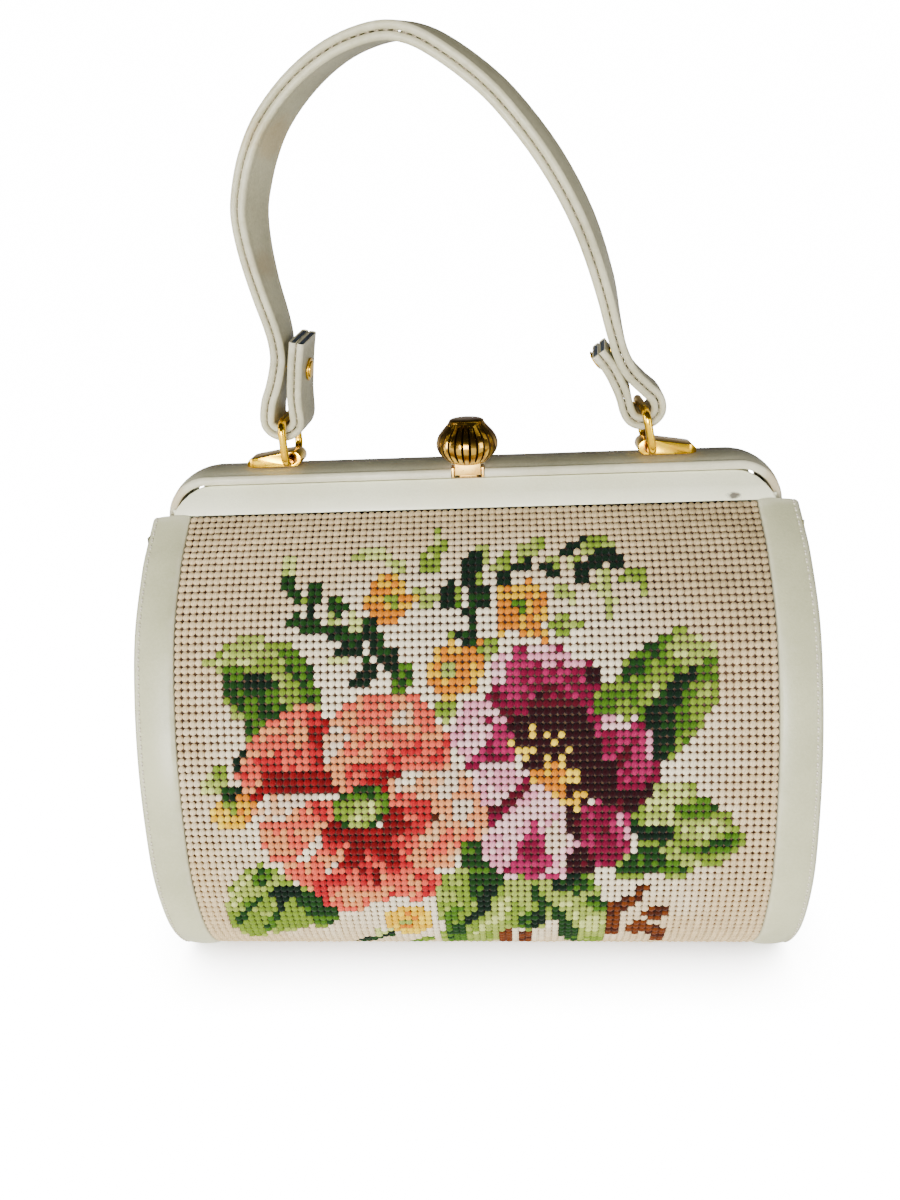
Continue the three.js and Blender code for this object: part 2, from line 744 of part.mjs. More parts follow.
// A brass rivet: a low domed head on the tab and a shaft through the tab into the strap behind it.
function handleRivet(side) {
  const face = layerWall + clearance / 2 + clearance;
  const flange = rivetRod(side, rivetHead, face, face + 0.55 * rivetHeadWall);
  const dome = rivetRod(side, 0.72 * rivetHead, face, face + rivetHeadWall);
  const shaft = rivetRod(side, rivetShaft, -rivetDepth + clearance, face + 0.1);
  return geometryOf(join(flange, dome, shaft));
}

const bag = new THREE.Group();

function add(name, geometry, look) {
  geometry.computeVertexNormals();
  const mesh = new THREE.Mesh(geometry, new THREE.MeshStandardMaterial(look));
  mesh.name = name;
  bag.add(mesh);
}

add("needlepoint_panel", needlepointPanel(), wool);
add("top_frame", topFrame(), bone);
add("front_frame", halfFrame(-1), bone);
add("rear_frame", halfFrame(1), bone);
add("clasp_housing", claspHousing(), brass);
add("clasp_knob", claspKnob(), brass);
add("handle_outer_strap", handleLayer(1), bone);
add("handle_inner_strap", handleLayer(-1), bone);
for (const [name, side] of [
  ["left", -1],
  ["right", 1],
]) {
  add("side_band_" + name, sideBand(side), bone);
  add("end_gusset_" + name, endGusset(side), bone);
  add("hinge_pin_" + name, hingePin(side), steel);
  add("handle_bracket_" + name, handleBracket(side), brass);
  add("handle_ring_" + name, handleRing(side), brass);
  add("handle_rivet_" + name, handleRivet(side), brass);
}

export default bag;
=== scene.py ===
# %% [markdown]
# # A needlepoint frame handbag
# The bag is a soft barrel of wool stitches between two bone leather bands. A leather covered frame
# with a ribbed brass ball closes it, and a two layer leather handle hangs from brass rings.
# This lesson dresses the bag's CAD model: each piece is modelled as by hand where it can be, starting
# from a primitive, and then gets a material of its own. Lengths are given in millimetres and turned
# into Blender's metres in one place.

# %% Load the frame
import json
import math

import bmesh
import bpy
import numpy as np
from mathutils import Matrix, Vector

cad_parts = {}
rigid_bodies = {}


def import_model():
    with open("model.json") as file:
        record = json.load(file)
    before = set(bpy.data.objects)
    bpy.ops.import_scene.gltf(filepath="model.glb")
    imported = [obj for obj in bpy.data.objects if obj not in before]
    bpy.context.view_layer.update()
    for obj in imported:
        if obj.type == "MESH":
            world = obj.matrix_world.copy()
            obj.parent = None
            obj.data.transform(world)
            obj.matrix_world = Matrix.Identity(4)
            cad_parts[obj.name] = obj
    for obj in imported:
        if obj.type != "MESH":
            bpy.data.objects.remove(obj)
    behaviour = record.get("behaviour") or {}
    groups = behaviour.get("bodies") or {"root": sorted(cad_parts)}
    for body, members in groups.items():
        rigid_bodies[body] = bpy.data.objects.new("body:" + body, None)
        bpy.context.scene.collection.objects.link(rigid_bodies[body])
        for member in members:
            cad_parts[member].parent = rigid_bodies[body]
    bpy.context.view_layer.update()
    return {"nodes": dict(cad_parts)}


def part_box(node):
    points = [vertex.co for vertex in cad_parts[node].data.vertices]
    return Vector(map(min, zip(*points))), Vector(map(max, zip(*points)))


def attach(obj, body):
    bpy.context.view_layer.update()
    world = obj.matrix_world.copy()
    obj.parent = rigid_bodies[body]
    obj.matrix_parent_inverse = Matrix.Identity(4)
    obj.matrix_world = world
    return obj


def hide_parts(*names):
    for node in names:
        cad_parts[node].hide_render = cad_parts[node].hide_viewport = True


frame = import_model()
nodes = frame["nodes"]

# %% [markdown]
# ## Sizes
# The new pieces take their places from the same sizes as the CAD model. They are written once here.

# %% Sizes of the bag, in millimetres
MM = 0.001
BODY_DEPTH, SEAM_HEIGHT, SEAM_DEPTH = 150, 172, 38
PANEL_LENGTH, BAND_PROUD = 210, 1.2
FRAME_HALF, FRAME_TOP, FRAME_CROWN, FRAME_CORNER, LEG_BOTTOM = 117.6, 186.8, 1.2, 18, 156
BALL_RADIUS, BALL_HEIGHT, BALL_CENTRE, BALL_SETBACK = 11.5, 16.8, 195.8, 10
RIBS, RIB_DEPTH = 26, 0.62
LEVER_PIN = 185.2
BRACKET_SPAN, EYE_RISE = 68.2, 3.25
RING_WIRE, RING_HEIGHT, RING_HALF_WIDTH, RING_CORNER = 1.5, 15.75, 13, 4
HANDLE_RISE, STRAP_WIDTH, LAYER_WALL, FOLD_RADIUS, CLEARANCE = 141, 20, 2.6, 5.8, 0.3
SIDES = {-1: "left", 1: "right"}  # by the sign of x


def tell(*pieces):
    """Prints what was made, with each piece's size in millimetres."""
    for piece in pieces:
        co = np.array([v.co for v in piece.data.vertices]) / MM
        size = np.round(co.max(0) - co.min(0), 1)
        print(f"{piece.name}: {len(piece.data.polygons)} faces, {size} mm")


# %% [markdown]
# ## Working with nodes
# A material is a small machine of nodes, and so is the room's light. Placing and wiring nodes one by one
# makes long code, so one helper adds a node, sets its inputs and joins the inputs that are outputs of
# other nodes. An effect that several materials share becomes a group, with named sockets.

# %% Helpers for nodes
def put(tree, kind, inputs=None, **settings):
    """Adds a node. Its inputs are values, or outputs of other nodes, which get joined."""
    made = tree.nodes.new("ShaderNode" + kind)
    for key, value in settings.items():
        setattr(made, key, value)
    for key, value in (inputs or {}).items():
        if isinstance(value, bpy.types.NodeSocket):
            tree.links.new(value, made.inputs[key])
        else:
            made.inputs[key].default_value = value
    return made


def linear(colour):
    """Turns a colour of 0 to 255 into the linear values that shaders work with."""
    share = np.asarray(colour, float) / 255
    return np.where(share < 0.04045, share / 12.92, ((share + 0.055) / 1.055) ** 2.4)


def colour_of(rgb):
    """A colour of 0 to 255 as a shader's value."""
    return (*linear(rgb), 1)


def mix(tree, factor, a, b, kind="MIX"):
    """Mixes two colours. The colour sockets of a Mix node are its seventh and eighth."""
    return put(tree, "Mix", {0: factor, 6: a, 7: b}, data_type="RGBA", blend_type=kind).outputs[2]


def calc(tree, operation, *values, clamp=False):
    return put(tree, "Math", dict(enumerate(values)), operation=operation, use_clamp=clamp).outputs[0]


def span(tree, value, low, high, to_low=0.0, to_high=1.0):
    """Turns a value between low and high into one between two others, and stops there."""
    inputs = {"Value": value, "From Min": low, "From Max": high, "To Min": to_low, "To Max": to_high}
    return put(tree, "MapRange", inputs, interpolation_type="SMOOTHSTEP").outputs["Result"]


def noise(tree, vector, scale, detail=3.0, roughness=0.55):
    inputs = {"Vector": vector, "Scale": scale, "Detail": detail, "Roughness": roughness}
    return put(tree, "TexNoise", inputs).outputs["Fac"]


def object_place(tree):
    return put(tree, "TexCoord").outputs["Object"]


def bump(tree, height, strength, distance, normal=None):
    inputs = {"Height": height, "Strength": strength, "Distance": distance}
    if normal is not None:
        inputs["Normal"] = normal
    return put(tree, "Bump", inputs).outputs["Normal"]


def group(name, inputs, outputs):
    """A new node group with named sockets, and its two ends."""
    tree = bpy.data.node_groups.new(name, "ShaderNodeTree")
    for socket, kind, value in inputs:
        made = tree.interface.new_socket(name=socket, in_out="INPUT", socket_type="NodeSocket" + kind)
        if value is not None:
            made.default_value = value
    for socket, kind in outputs:
        tree.interface.new_socket(name=socket, in_out="OUTPUT", socket_type="NodeSocket" + kind)
    return tree, tree.nodes.new("NodeGroupInput").outputs, tree.nodes.new("NodeGroupOutput").inputs


def use(tree, effect, **inputs):
    """Places a group in a material. Its values are given by name, with _ for a space."""
    made = put(tree, "Group", node_tree=effect)
    for key, value in inputs.items():
        socket = made.inputs[key.replace("_", " ")]
        if isinstance(value, bpy.types.NodeSocket):
            tree.links.new(value, socket)
        else:
            socket.default_value = value
    return made.outputs


# %% [markdown]
# ## Camera and light
# The camera stands a little over a third of a metre in front of the bag and looks down on it, so the
# bag looks wider at the top. It is placed by its position and three angles. A large soft light stands in
# front, a little to the left, and low, so the faces are bright and the top is dark. Two weaker lights
# at the sides and a pale room give a studio's even shadows.

# %% Camera
CAMERA_PLACE = Vector((0.013158, -0.340887, 0.260024))
YAW, PITCH, ROLL = math.radians(3.849), math.radians(21.033), math.radians(-2.70)
LENS, SENSOR_WIDTH = 26.826, 36
ahead = Vector((-math.sin(YAW) * math.cos(PITCH), math.cos(YAW) * math.cos(PITCH), -math.sin(PITCH)))
level = Vector((math.cos(YAW), math.sin(YAW), 0))
upright = level.cross(ahead)
camera_right = level * math.cos(ROLL) + upright * math.sin(ROLL)
camera_up = upright * math.cos(ROLL) - level * math.sin(ROLL)
turn = Matrix((camera_right, camera_up, -ahead)).transposed().to_4x4()

camera_data = bpy.data.cameras.new("camera")
camera_data.lens = LENS
camera_data.sensor_width = SENSOR_WIDTH
camera_data.clip_start = 0.01
camera = bpy.data.objects.new("camera", camera_data)
camera.matrix_world = Matrix.Translation(CAMERA_PLACE) @ turn
bpy.context.scene.collection.objects.link(camera)
bpy.context.scene.camera = camera
print("camera at", tuple(round(v, 3) for v in CAMERA_PLACE))


# %% Lights and room
def area_light(name, place, aim, size, power):
    data = bpy.data.lights.new(name, "AREA")
    data.shape = "RECTANGLE"
    data.size, data.size_y = size
    data.energy = power
    light = bpy.data.objects.new(name, data)
    direction = Vector(aim) - Vector(place)
    light.matrix_world = Matrix.Translation(place) @ direction.to_track_quat("-Z", "Y").to_matrix().to_4x4()
    bpy.context.scene.collection.objects.link(light)


area_light("key", (-0.3, -1.7, 0.3), (0, 0, 0.12), (0.9, 0.6), 62)
area_light("side", (-1.3, -0.35, 0.3), (0, 0, 0.14), (0.4, 0.8), 13)
area_light("fill", (1.25, -0.8, 0.3), (0, 0, 0.14), (0.4, 0.8), 8)
print("three lights")

# %% [markdown]
# The room is a gradient from a pale floor to a dim ceiling, so that polished brass has something dark to
# reflect. The camera itself sees plain white behind the bag.

# %% Room and paper
SKY_SHADES = ((0.5, 0.66), (0.6, 0.24), (0.75, 0.05), (1, 0.02))  # height, 1 is overhead, and brightness
ROOM_STRENGTH, PAPER_STRENGTH = 0.8, 16

world = bpy.data.worlds.new("studio")
bpy.context.scene.world = world
world.use_nodes = True
room = world.node_tree
room.nodes.clear()
direction = put(room, "TexCoord").outputs["Generated"]
above = put(room, "SeparateXYZ", {0: direction}).outputs["Z"]
lifted = put(room, "MapRange", {"Value": above, "From Min": -1}).outputs["Result"]
shades = put(room, "ValToRGB", {"Fac": lifted})
for index, (place, shade) in enumerate(SKY_SHADES):
    stop = shades.color_ramp.elements[index] if index < 2 else shades.color_ramp.elements.new(place)
    stop.position = place
    stop.color = (shade, shade, shade * 1.03, 1)
around = put(room, "Background", {"Color": shades.outputs["Color"], "Strength": ROOM_STRENGTH})
behind = put(room, "Background", {"Color": (1, 1, 1, 1), "Strength": PAPER_STRENGTH})
choice = put(room, "MixShader", {"Fac": put(room, "LightPath").outputs["Is Camera Ray"],
                                 1: around.outputs["Background"], 2: behind.outputs["Background"]})
put(room, "OutputWorld", {"Surface": choice.outputs["Shader"]})

bpy.ops.mesh.primitive_plane_add(size=8, location=(0, 0, 0))
floor = bpy.context.object
floor.name = "floor"
print("the room and the floor are in place")

# %% [markdown]
# ## Working by hand in code
# Operators act on whatever is selected, and the CAD nodes come in selected. So each piece starts with
# an empty selection, and faces are then picked by their place or the way they face.

# %% Helpers for modelling with operators
def clear():
    if bpy.context.object and bpy.context.object.mode != "OBJECT":
        bpy.ops.object.mode_set(mode="OBJECT")
    bpy.ops.object.select_all(action="DESELECT")


def only(piece):
    """Makes a piece the one selected, active object."""
    clear()
    piece.select_set(True)
    bpy.context.view_layer.objects.active = piece
    return piece


def edit(piece, mode="FACE"):
    only(piece)
    bpy.ops.object.mode_set(mode="EDIT")
    bpy.ops.mesh.select_mode(type=mode)
    bpy.ops.mesh.select_all(action="DESELECT")
    return bmesh.from_edit_mesh(piece.data)


def pick(piece, test, mode="FACE"):
    """Selects the faces, edges or vertices whose middle passes a test, in edit mode."""
    mesh = edit(piece, mode)
    parts = {"FACE": mesh.faces, "EDGE": mesh.edges, "VERT": mesh.verts}[mode]
    count = 0
    for part in parts:
        if mode == "FACE":
            chosen = test(part.calc_center_median() / MM, part.normal)
        elif mode == "EDGE":
            chosen = test((part.verts[0].co + part.verts[1].co) / 2 / MM, part)
        else:
            chosen = test(part.co / MM, part)
        if chosen:
            part.select_set(True)
            count += 1
    mesh.select_flush_mode()
    bmesh.update_edit_mesh(piece.data)
    return count


def leave():
    bpy.ops.object.mode_set(mode="OBJECT")


def settle(piece, name=None, angle=40):
    """Puts a finished piece's place into its mesh and smooths its shading up to an angle."""
    only(piece)
    bpy.ops.object.transform_apply(location=True, rotation=True, scale=True)
    bpy.ops.object.shade_smooth_by_angle(angle=math.radians(angle))
    if name:
        piece.name = name
        piece.data.name = name
    return piece


def finish_with(piece, kind, **settings):
    """Adds a modifier and applies it."""
    only(piece)
    modifier = piece.modifiers.new(kind.lower(), kind)
    for key, value in settings.items():
        setattr(modifier, key, value)
    bpy.ops.object.modifier_apply(modifier=modifier.name)
    return piece


def rounded(piece, width, segments=3, angle=35):
    """A bevel on the sharp edges of a piece, width in millimetres."""
    return finish_with(piece, "BEVEL", width=width * MM, segments=segments, limit_method="ANGLE",
                       angle_limit=math.radians(angle), harden_normals=False)


def copy_of(node, name):
    """A merged copy of a CAD node, to be worked on as a piece of its own."""
    clear()
    piece = nodes[node].copy()
    piece.data = nodes[node].data.copy()
    piece.name = name
    piece.data.name = name
    piece.data.materials.clear()
    for key in list(piece.keys()):
        del piece[key]
    bpy.context.scene.collection.objects.link(piece)
    piece.parent = None
    edit(piece, "VERT")
    bpy.ops.mesh.select_all(action="SELECT")
    bpy.ops.mesh.remove_doubles(threshold=0.00001)
    bpy.ops.mesh.dissolve_limited(angle_limit=math.radians(1))
    leave()
    return piece


# %% [markdown]
# ## Sweeping a section
# Bands, frames, rings and straps are all one section carried along a path. A grid primitive is the
# easiest start: each of its rows becomes one copy of the section. Its side edges are then merged into
# a seam, and its two ends are filled, so the sweep is a closed body.

# %% A sweep from a grid
def sweep(name, loops, ring=False, open_section=False):
    """A skin over loops of points, each an array of x, y, z in millimetres."""
    loops = np.array(loops, float)
    rows, columns = loops.shape[:2]
    wrap = loops if open_section else np.concatenate([loops, loops[:, :1]], axis=1)
    wrap = np.concatenate([wrap, wrap[:1]], axis=0) if ring else wrap
    clear()
    bpy.ops.mesh.primitive_grid_add(x_subdivisions=wrap.shape[1] - 1, y_subdivisions=wrap.shape[0] - 1)
    piece = bpy.context.object
    piece.name = name
    piece.data.name = name
    piece.data.vertices.foreach_set("co", (wrap.reshape(-1, 3) * MM).ravel())
    piece.data.update()
    edit(piece, "VERT")
    bpy.ops.mesh.select_all(action="SELECT")
    bpy.ops.mesh.remove_doubles(threshold=0.000002)
    if not ring and not open_section:
        bpy.ops.mesh.select_all(action="DESELECT")
        bpy.ops.mesh.select_non_manifold(extend=False)
        bpy.ops.mesh.fill_holes(sides=0)
        bpy.ops.mesh.select_all(action="SELECT")
    bpy.ops.mesh.normals_make_consistent(inside=False)
    leave()
    return piece


def catmull(points, share):
    """A point of the smooth curve through points, by its share of the way in equal spans."""
    points = np.asarray(points, float)
    last = len(points) - 1
    place = min(max(share, 0), 1) * last
    i = min(int(place), last - 1)
    t = place - i
    a, b, c, d = points[max(i - 1, 0)], points[i], points[i + 1], points[min(i + 2, last)]
    v0, v1 = (c - a) / 2, (d - b) / 2
    return (2 * b - 2 * c + v0 + v1) * t**3 + (3 * c - 3 * b - 2 * v0 - v1) * t**2 + v0 * t + b


# %% [markdown]
# ## The body's outline
# Seen from the end, the bag is an onion: narrow at the frame, widest low down, flat underneath. One
# curve through a few points gives the front half, and the rear half is its mirror image.

# %% The outline of the body
BODY_ROWS = [(0, 1), (0.171, 0.959), (0.334, 0.914), (0.604, 0.808), (0.784, 0.683), (0.907, 0.551),
             (0.977, 0.414), (1, 0.276), (0.93, 0.15), (0.81, 0.068), (0.64, 0.014), (0.45, 0)]
half_profile = [(-SEAM_DEPTH / 2 - out * (BODY_DEPTH - SEAM_DEPTH) / 2,
                 BAND_PROUD + up * (SEAM_HEIGHT - BAND_PROUD)) for out, up in BODY_ROWS]
front_curve = np.array([catmull(half_profile, k / 600) for k in range(601)])
body_curve = np.concatenate([front_curve, front_curve[::-1] * (-1, 1)])
steps = np.hypot(*np.diff(body_curve, axis=0).T)
body_reach = np.concatenate([[0], np.cumsum(steps)])
BODY_WAY = body_reach[-1]


def body_at(way):
    """The place and the outward direction, as y and z, at distances along the outline."""
    way = np.asarray(way, float)
    here = np.stack([np.interp(way, body_reach, body_curve[:, k]) for k in (0, 1)], -1)
    near, far = np.clip(way - 1.2, 0, BODY_WAY), np.clip(way + 1.2, 0, BODY_WAY)
    before = np.stack([np.interp(near, body_reach, body_curve[:, k]) for k in (0, 1)], -1)
    after = np.stack([np.interp(far, body_reach, body_curve[:, k]) for k in (0, 1)], -1)
    along = after - before
    along /= np.linalg.norm(along, axis=-1, keepdims=True)
    return here, np.stack([along[..., 1], -along[..., 0]], -1)


def round_body(section, count):
    """Loops of a section of (x, lift) pairs, carried round the body."""
    here, out = body_at(np.linspace(0, BODY_WAY, count))
    return [[(x, y + oy * lift, z + oz * lift) for x, lift in section]
            for (y, z), (oy, oz) in zip(here, out)]


print("outline of the body:", round(BODY_WAY), "mm from seam to seam")

# %% [markdown]
# ## Many small copies
# Wool stitches, sewing thread and their like are one small shape, modelled once. Each copy gets its own
# place and direction from arrays, and all copies are joined in one mesh, which is fast for thousands.

# %% Copies of a small shape
def copies(name, shape, places, across, along, out, scale=None):
    """Joins copies of a shape: its x, y and z follow the three directions given for each place."""
    mesh = shape.data
    base = np.array([v.co for v in mesh.vertices]) / MM
    faces = [list(face.vertices) for face in mesh.polygons]
    count, size = len(places), len(base)
    scale = np.ones((count, 3)) if scale is None else scale
    axes = np.stack([across, along, out], axis=1) * scale[:, :, None]
    verts = np.asarray(places)[:, None, :] + np.einsum("vk,nkc->nvc", base, axes)
    lengths = np.array([len(face) for face in faces])
    flat = np.concatenate([np.array(face) for face in faces])
    corner = (flat[None, :] + (np.arange(count) * size)[:, None]).ravel()
    starts = np.concatenate([[0], np.cumsum(np.tile(lengths, count))[:-1]])
    joined = bpy.data.meshes.new(name)
    joined.vertices.add(count * size)
    joined.vertices.foreach_set("co", (verts.reshape(-1, 3) * MM).ravel())
    joined.loops.add(len(corner))
    joined.loops.foreach_set("vertex_index", corner)
    joined.polygons.add(len(starts))
    joined.polygons.foreach_set("loop_start", starts)
    joined.update(calc_edges=True)
    joined.polygons.foreach_set("use_smooth", np.ones(len(starts), bool))
    piece = bpy.data.objects.new(name, joined)
    bpy.context.scene.collection.objects.link(piece)
    local = joined.attributes.new("ply", "FLOAT_VECTOR", "POINT")
    local.data.foreach_set("vector", np.tile(base, (count, 1)).ravel())
    return piece


# %% [markdown]
# ## One stitch of wool
# A tent stitch is a short, fat, slanting tuft that dives into the canvas at both ends. It starts as a
# sphere of three rings. The lowest point is cut off and the hole closed, because nobody sees it, and the
# rest is drawn out to a tuft.

# %% Model one stitch
FULLNESS = 0.72  # of a tuft's outline: 1 is an oval, and less is squarer


def tuft(name, length, width, height):
    clear()
    bpy.ops.mesh.primitive_uv_sphere_add(segments=8, ring_count=3, radius=1)
    piece = bpy.context.object
    piece.name = name
    pick(piece, lambda at, v: at.z < -900, "VERT")
    bpy.ops.mesh.delete(type="VERT")
    bpy.ops.mesh.select_all(action="SELECT")
    bpy.ops.mesh.region_to_loop()
    bpy.ops.mesh.edge_face_add()
    leave()
    co = np.array([v.co for v in piece.data.vertices])
    around = np.arctan2(co[:, 1], co[:, 0])
    ring = np.where(co[:, 2] > 0.9, 0, np.where(co[:, 2] > 0, 0.74, 1))
    high = np.where(co[:, 2] > 0.9, 1, np.where(co[:, 2] > 0, 0.76, -0.3))
    for axis, (share, extent) in enumerate(((np.cos(around), width), (np.sin(around), length))):
        co[:, axis] = ring * (np.sign(share) * np.abs(share) ** FULLNESS) * extent / 2 * MM
    co[:, 2] = high * height * MM
    piece.data.vertices.foreach_set("co", co.ravel())
    return piece


STITCH_LENGTH, STITCH_WIDTH, STITCH_HEIGHT = 3.25, 2.95, 1.2
stitch = tuft("one_stitch", STITCH_LENGTH, STITCH_WIDTH, STITCH_HEIGHT)
print("one stitch:", len(stitch.data.polygons), "faces")

# %% [markdown]
# ## The stitched panel
# The canvas is one piece: down the front, under the base and up the back. A stitch lies over each mesh
# of the canvas, 84 across, and slants up to the right. Small changes of angle and size keep the rows
# from looking like a machine's.

# %% Where the stitches lie
COLUMNS, ROWS = 84, 182
STITCH_PITCH, ROW_PITCH = PANEL_LENGTH / COLUMNS, BODY_WAY / ROWS
BASE_STARTS, BASE_ENDS = 69, 113  # the rows under the bag
STITCH_BED = -0.55  # of a stitch's middle under the panel's outside
STITCH_SLANT = math.radians(53)
BED_SPREAD, SLANT_SPREAD, SIZE_SPREAD = 0.05, 0.06, 0.04
dice = np.random.default_rng(7)


def stitch_field(name, first, last):
    """The stitches of some rows, and the column and row of each one."""
    column, row = np.meshgrid(np.arange(COLUMNS), np.arange(first, last))
    column, row = column.ravel(), row.ravel()
    here, out2 = body_at((row + 0.5) * ROW_PITCH)
    x = (column + 0.5) * STITCH_PITCH - PANEL_LENGTH / 2
    bed = STITCH_BED + dice.normal(0, BED_SPREAD, len(x))
    places = np.stack([x, here[:, 0] + out2[:, 0] * bed, here[:, 1] + out2[:, 1] * bed], -1)
    out = np.stack([0 * x, out2[:, 0], out2[:, 1]], -1)
    towards_start = np.stack([0 * x, out2[:, 1], -out2[:, 0]], -1)
    slant = STITCH_SLANT + dice.normal(0, SLANT_SPREAD, len(x))
    right = np.array([1.0, 0, 0])
    along = right * np.cos(slant)[:, None] + towards_start * np.sin(slant)[:, None]
    across = np.cross(along, out)
    scale = 1 + dice.normal(0, SIZE_SPREAD, (len(x), 3))
    return copies(name, stitch, places, across, along, out, scale), column, row


wool_front, front_columns, front_rows = stitch_field("wool_front", 0, BASE_STARTS)
wool_base, base_columns, base_rows = stitch_field("wool_base", BASE_STARTS, BASE_ENDS)
wool_rear, rear_columns, rear_rows = stitch_field("wool_rear", BASE_ENDS, ROWS)
tell(wool_front, wool_base, wool_rear)

# %% The canvas under the stitches
CANVAS_TOP, CANVAS_BOTTOM = -0.75, -2.4  # from the outline
edge = PANEL_LENGTH / 2 + 0.15
canvas_section = [(-edge, CANVAS_TOP), (edge, CANVAS_TOP), (edge, CANVAS_BOTTOM), (-edge, CANVAS_BOTTOM)]
canvas = sweep("canvas", round_body(canvas_section, 120))
settle(canvas)
tell(canvas)

# %% [markdown]
# ## The leather bands
# Each end of the body is bound by a padded leather band. It rises out of the wool in a soft shoulder,
# runs flat, and rolls over the end of the bag. A finer section than the CAD model's, carried round the
# same outline, gives the crease beside the wool and the groove that the sewing lies in.

# %% Bands
BAND_SECTION = [(105.3, -2.2), (105.3, -0.3), (105.5, 0.35), (105.95, 0.72), (106.8, 0.98), (108.2, 1.18),
                (110.0, 1.26), (112.3, 1.2), (114.6, 0.98), (116.3, 0.72), (117.3, 0.52), (117.7, 0.36),
                (118.1, 0.42), (118.6, 0.36), (119.3, -0.2), (119.95, -0.9), (120.45, -1.7), (120.8, -2.7),
                (120.95, -3.7), (120.9, -4.3), (120.4, -4.6), (118.6, -4.5), (117.4, -3.6), (113.8, -2.2)]


def side_band(side):
    section = [(side * x, lift) for x, lift in BAND_SECTION]
    band = sweep("band_" + SIDES[side], round_body(section, 150))
    return settle(band, angle=60)


bands = [side_band(side) for side in SIDES]
tell(*bands)

# %% [markdown]
# ## Sewing
# Thread is one short round stitch, copied along a seam at an even pace.

# %% Thread along the bands
def seam_stitch(name, length, width, height):
    clear()
    bpy.ops.mesh.primitive_cylinder_add(vertices=6, radius=width / 2 * MM, depth=length * 0.7 * MM,
                                        rotation=(math.radians(90), 0, 0))
    piece = bpy.context.object
    piece.name = name
    bpy.ops.object.transform_apply(location=True, rotation=True, scale=True)
    for end in (-1, 1):
        pick(piece, lambda at, normal: end * normal.y > 0.9)
        bpy.ops.mesh.extrude_region_move(TRANSFORM_OT_translate={"value": (0, end * length * 0.15 * MM,
                                                                           -0.3 * height * MM)})
        bpy.ops.transform.resize(value=(0.55, 1, 0.55))
        leave()
    return piece


thread = seam_stitch("one_thread", 2.1, 0.62, 0.6)
SEAM_PLACE, SEAM_LIFT, SEAM_PACE = 117.9, 0.42, 3.1  # from the bag's middle, over its outline, and apart


def band_thread(side):
    count = int(BODY_WAY / SEAM_PACE)
    here, out2 = body_at((np.arange(count) + 0.5) * BODY_WAY / count)
    x = np.full(count, side * SEAM_PLACE)
    places = np.stack([x, here[:, 0] + out2[:, 0] * SEAM_LIFT, here[:, 1] + out2[:, 1] * SEAM_LIFT], -1)
    out = np.stack([0 * x + 0.35 * side, out2[:, 0], out2[:, 1]], -1)
    along = np.stack([0 * x, out2[:, 1], -out2[:, 0]], -1)
    across = np.cross(along, out)
    return copies("band_sewing_" + SIDES[side], thread, places, across, along, out)


band_sewing = [band_thread(side) for side in SIDES]
tell(*band_sewing)

# %% [markdown]
# ## The end plates
# Each end is closed by a plate of leather over board. It starts as a merged copy of the CAD plate.
# Its outside is inset twice and pushed out, which gives the soft pillow of padding under the leather.

# %% End plates
def end_plate(side):
    plate = copy_of("end_gusset_" + SIDES[side], "end_plate_" + SIDES[side])
    for width, push in ((3, 0.45), (9, 0.7), (12, 0.45)):
        limit = max(side * v.co.x for v in plate.data.vertices) / MM
        pick(plate, lambda at, normal: side * normal.x > 0.99 and side * at.x > limit - 0.01)
        bpy.ops.mesh.inset(thickness=width * MM, depth=0, use_even_offset=False)
        bpy.ops.transform.translate(value=(side * push * MM, 0, 0))
        leave()
    return settle(plate, angle=50)


plates = [end_plate(side) for side in SIDES]
tell(*plates)

# %% [markdown]
# ## The frame over the top
# A leather covered strip runs up one end, over the top and down the other. Its lips are rounded, and a
# fine crease behind each lip shows where the leather was turned over the metal.

# %% Top frame
def arch(half, top, corner, bottom, turns=14, legs=4, crown=40):
    """Places and outward directions, as x and z, along an arch with round corners."""
    path = [((-half, bottom + (top - corner - bottom) * k / legs), (-1, 0)) for k in range(legs)]
    for side in (-1, 1):
        for k in range(turns + 1):
            share = k / turns if side < 0 else 1 - k / turns
            angle = math.radians(180 - 90 * share) if side < 0 else math.radians(90 * share)
            out = (math.cos(angle), math.sin(angle))
            path.append(((side * (half - corner) + corner * out[0], top - corner + corner * out[1]), out))
        if side < 0:
            for k in range(1, crown):
                x = -(half - corner) + 2 * (half - corner) * k / crown
                path.append(((x, top), (0, 1)))
    path += [((half, top - corner - (top - corner - bottom) * k / legs), (1, 0)) for k in range(1, legs + 1)]
    return path


HALF_LIP = [(-12.3, -3.2), (-12.8, -3.05), (-13, -2.6), (-13, -1.4), (-12.85, -0.8), (-12.45, -0.25),
            (-11.9, 0), (-11.2, 0.02), (-10.7, -0.02), (-10.2, 0.12), (-9.2, 0.42), (-7, 0.8),
            (-4, 1.08), (-1.3, 1.2)]
frame_section = HALF_LIP + [(-y, lift) for y, lift in reversed(HALF_LIP)]
path = arch(FRAME_HALF - FRAME_CROWN, FRAME_TOP - FRAME_CROWN, FRAME_CORNER - FRAME_CROWN, LEG_BOTTOM)
loops = [[(x + ox * lift, y, z + oz * lift) for y, lift in frame_section] for (x, z), (ox, oz) in path]
top_cover = sweep("top_cover", loops)
settle(top_cover, angle=50)

# A cube cuts the notch for the clasp out of the front lip.
NOTCH_MIDDLE, NOTCH_SIZE = Vector((0, -16.32, 183.6)), Vector((12.6, 19.36, 12.8))
clear()
bpy.ops.mesh.primitive_cube_add(size=1, location=NOTCH_MIDDLE * MM)
cutter = bpy.context.object
cutter.scale = NOTCH_SIZE * MM
finish_with(top_cover, "BOOLEAN", object=cutter, operation="DIFFERENCE", solver="EXACT")
bpy.data.objects.remove(cutter)
tell(top_cover)

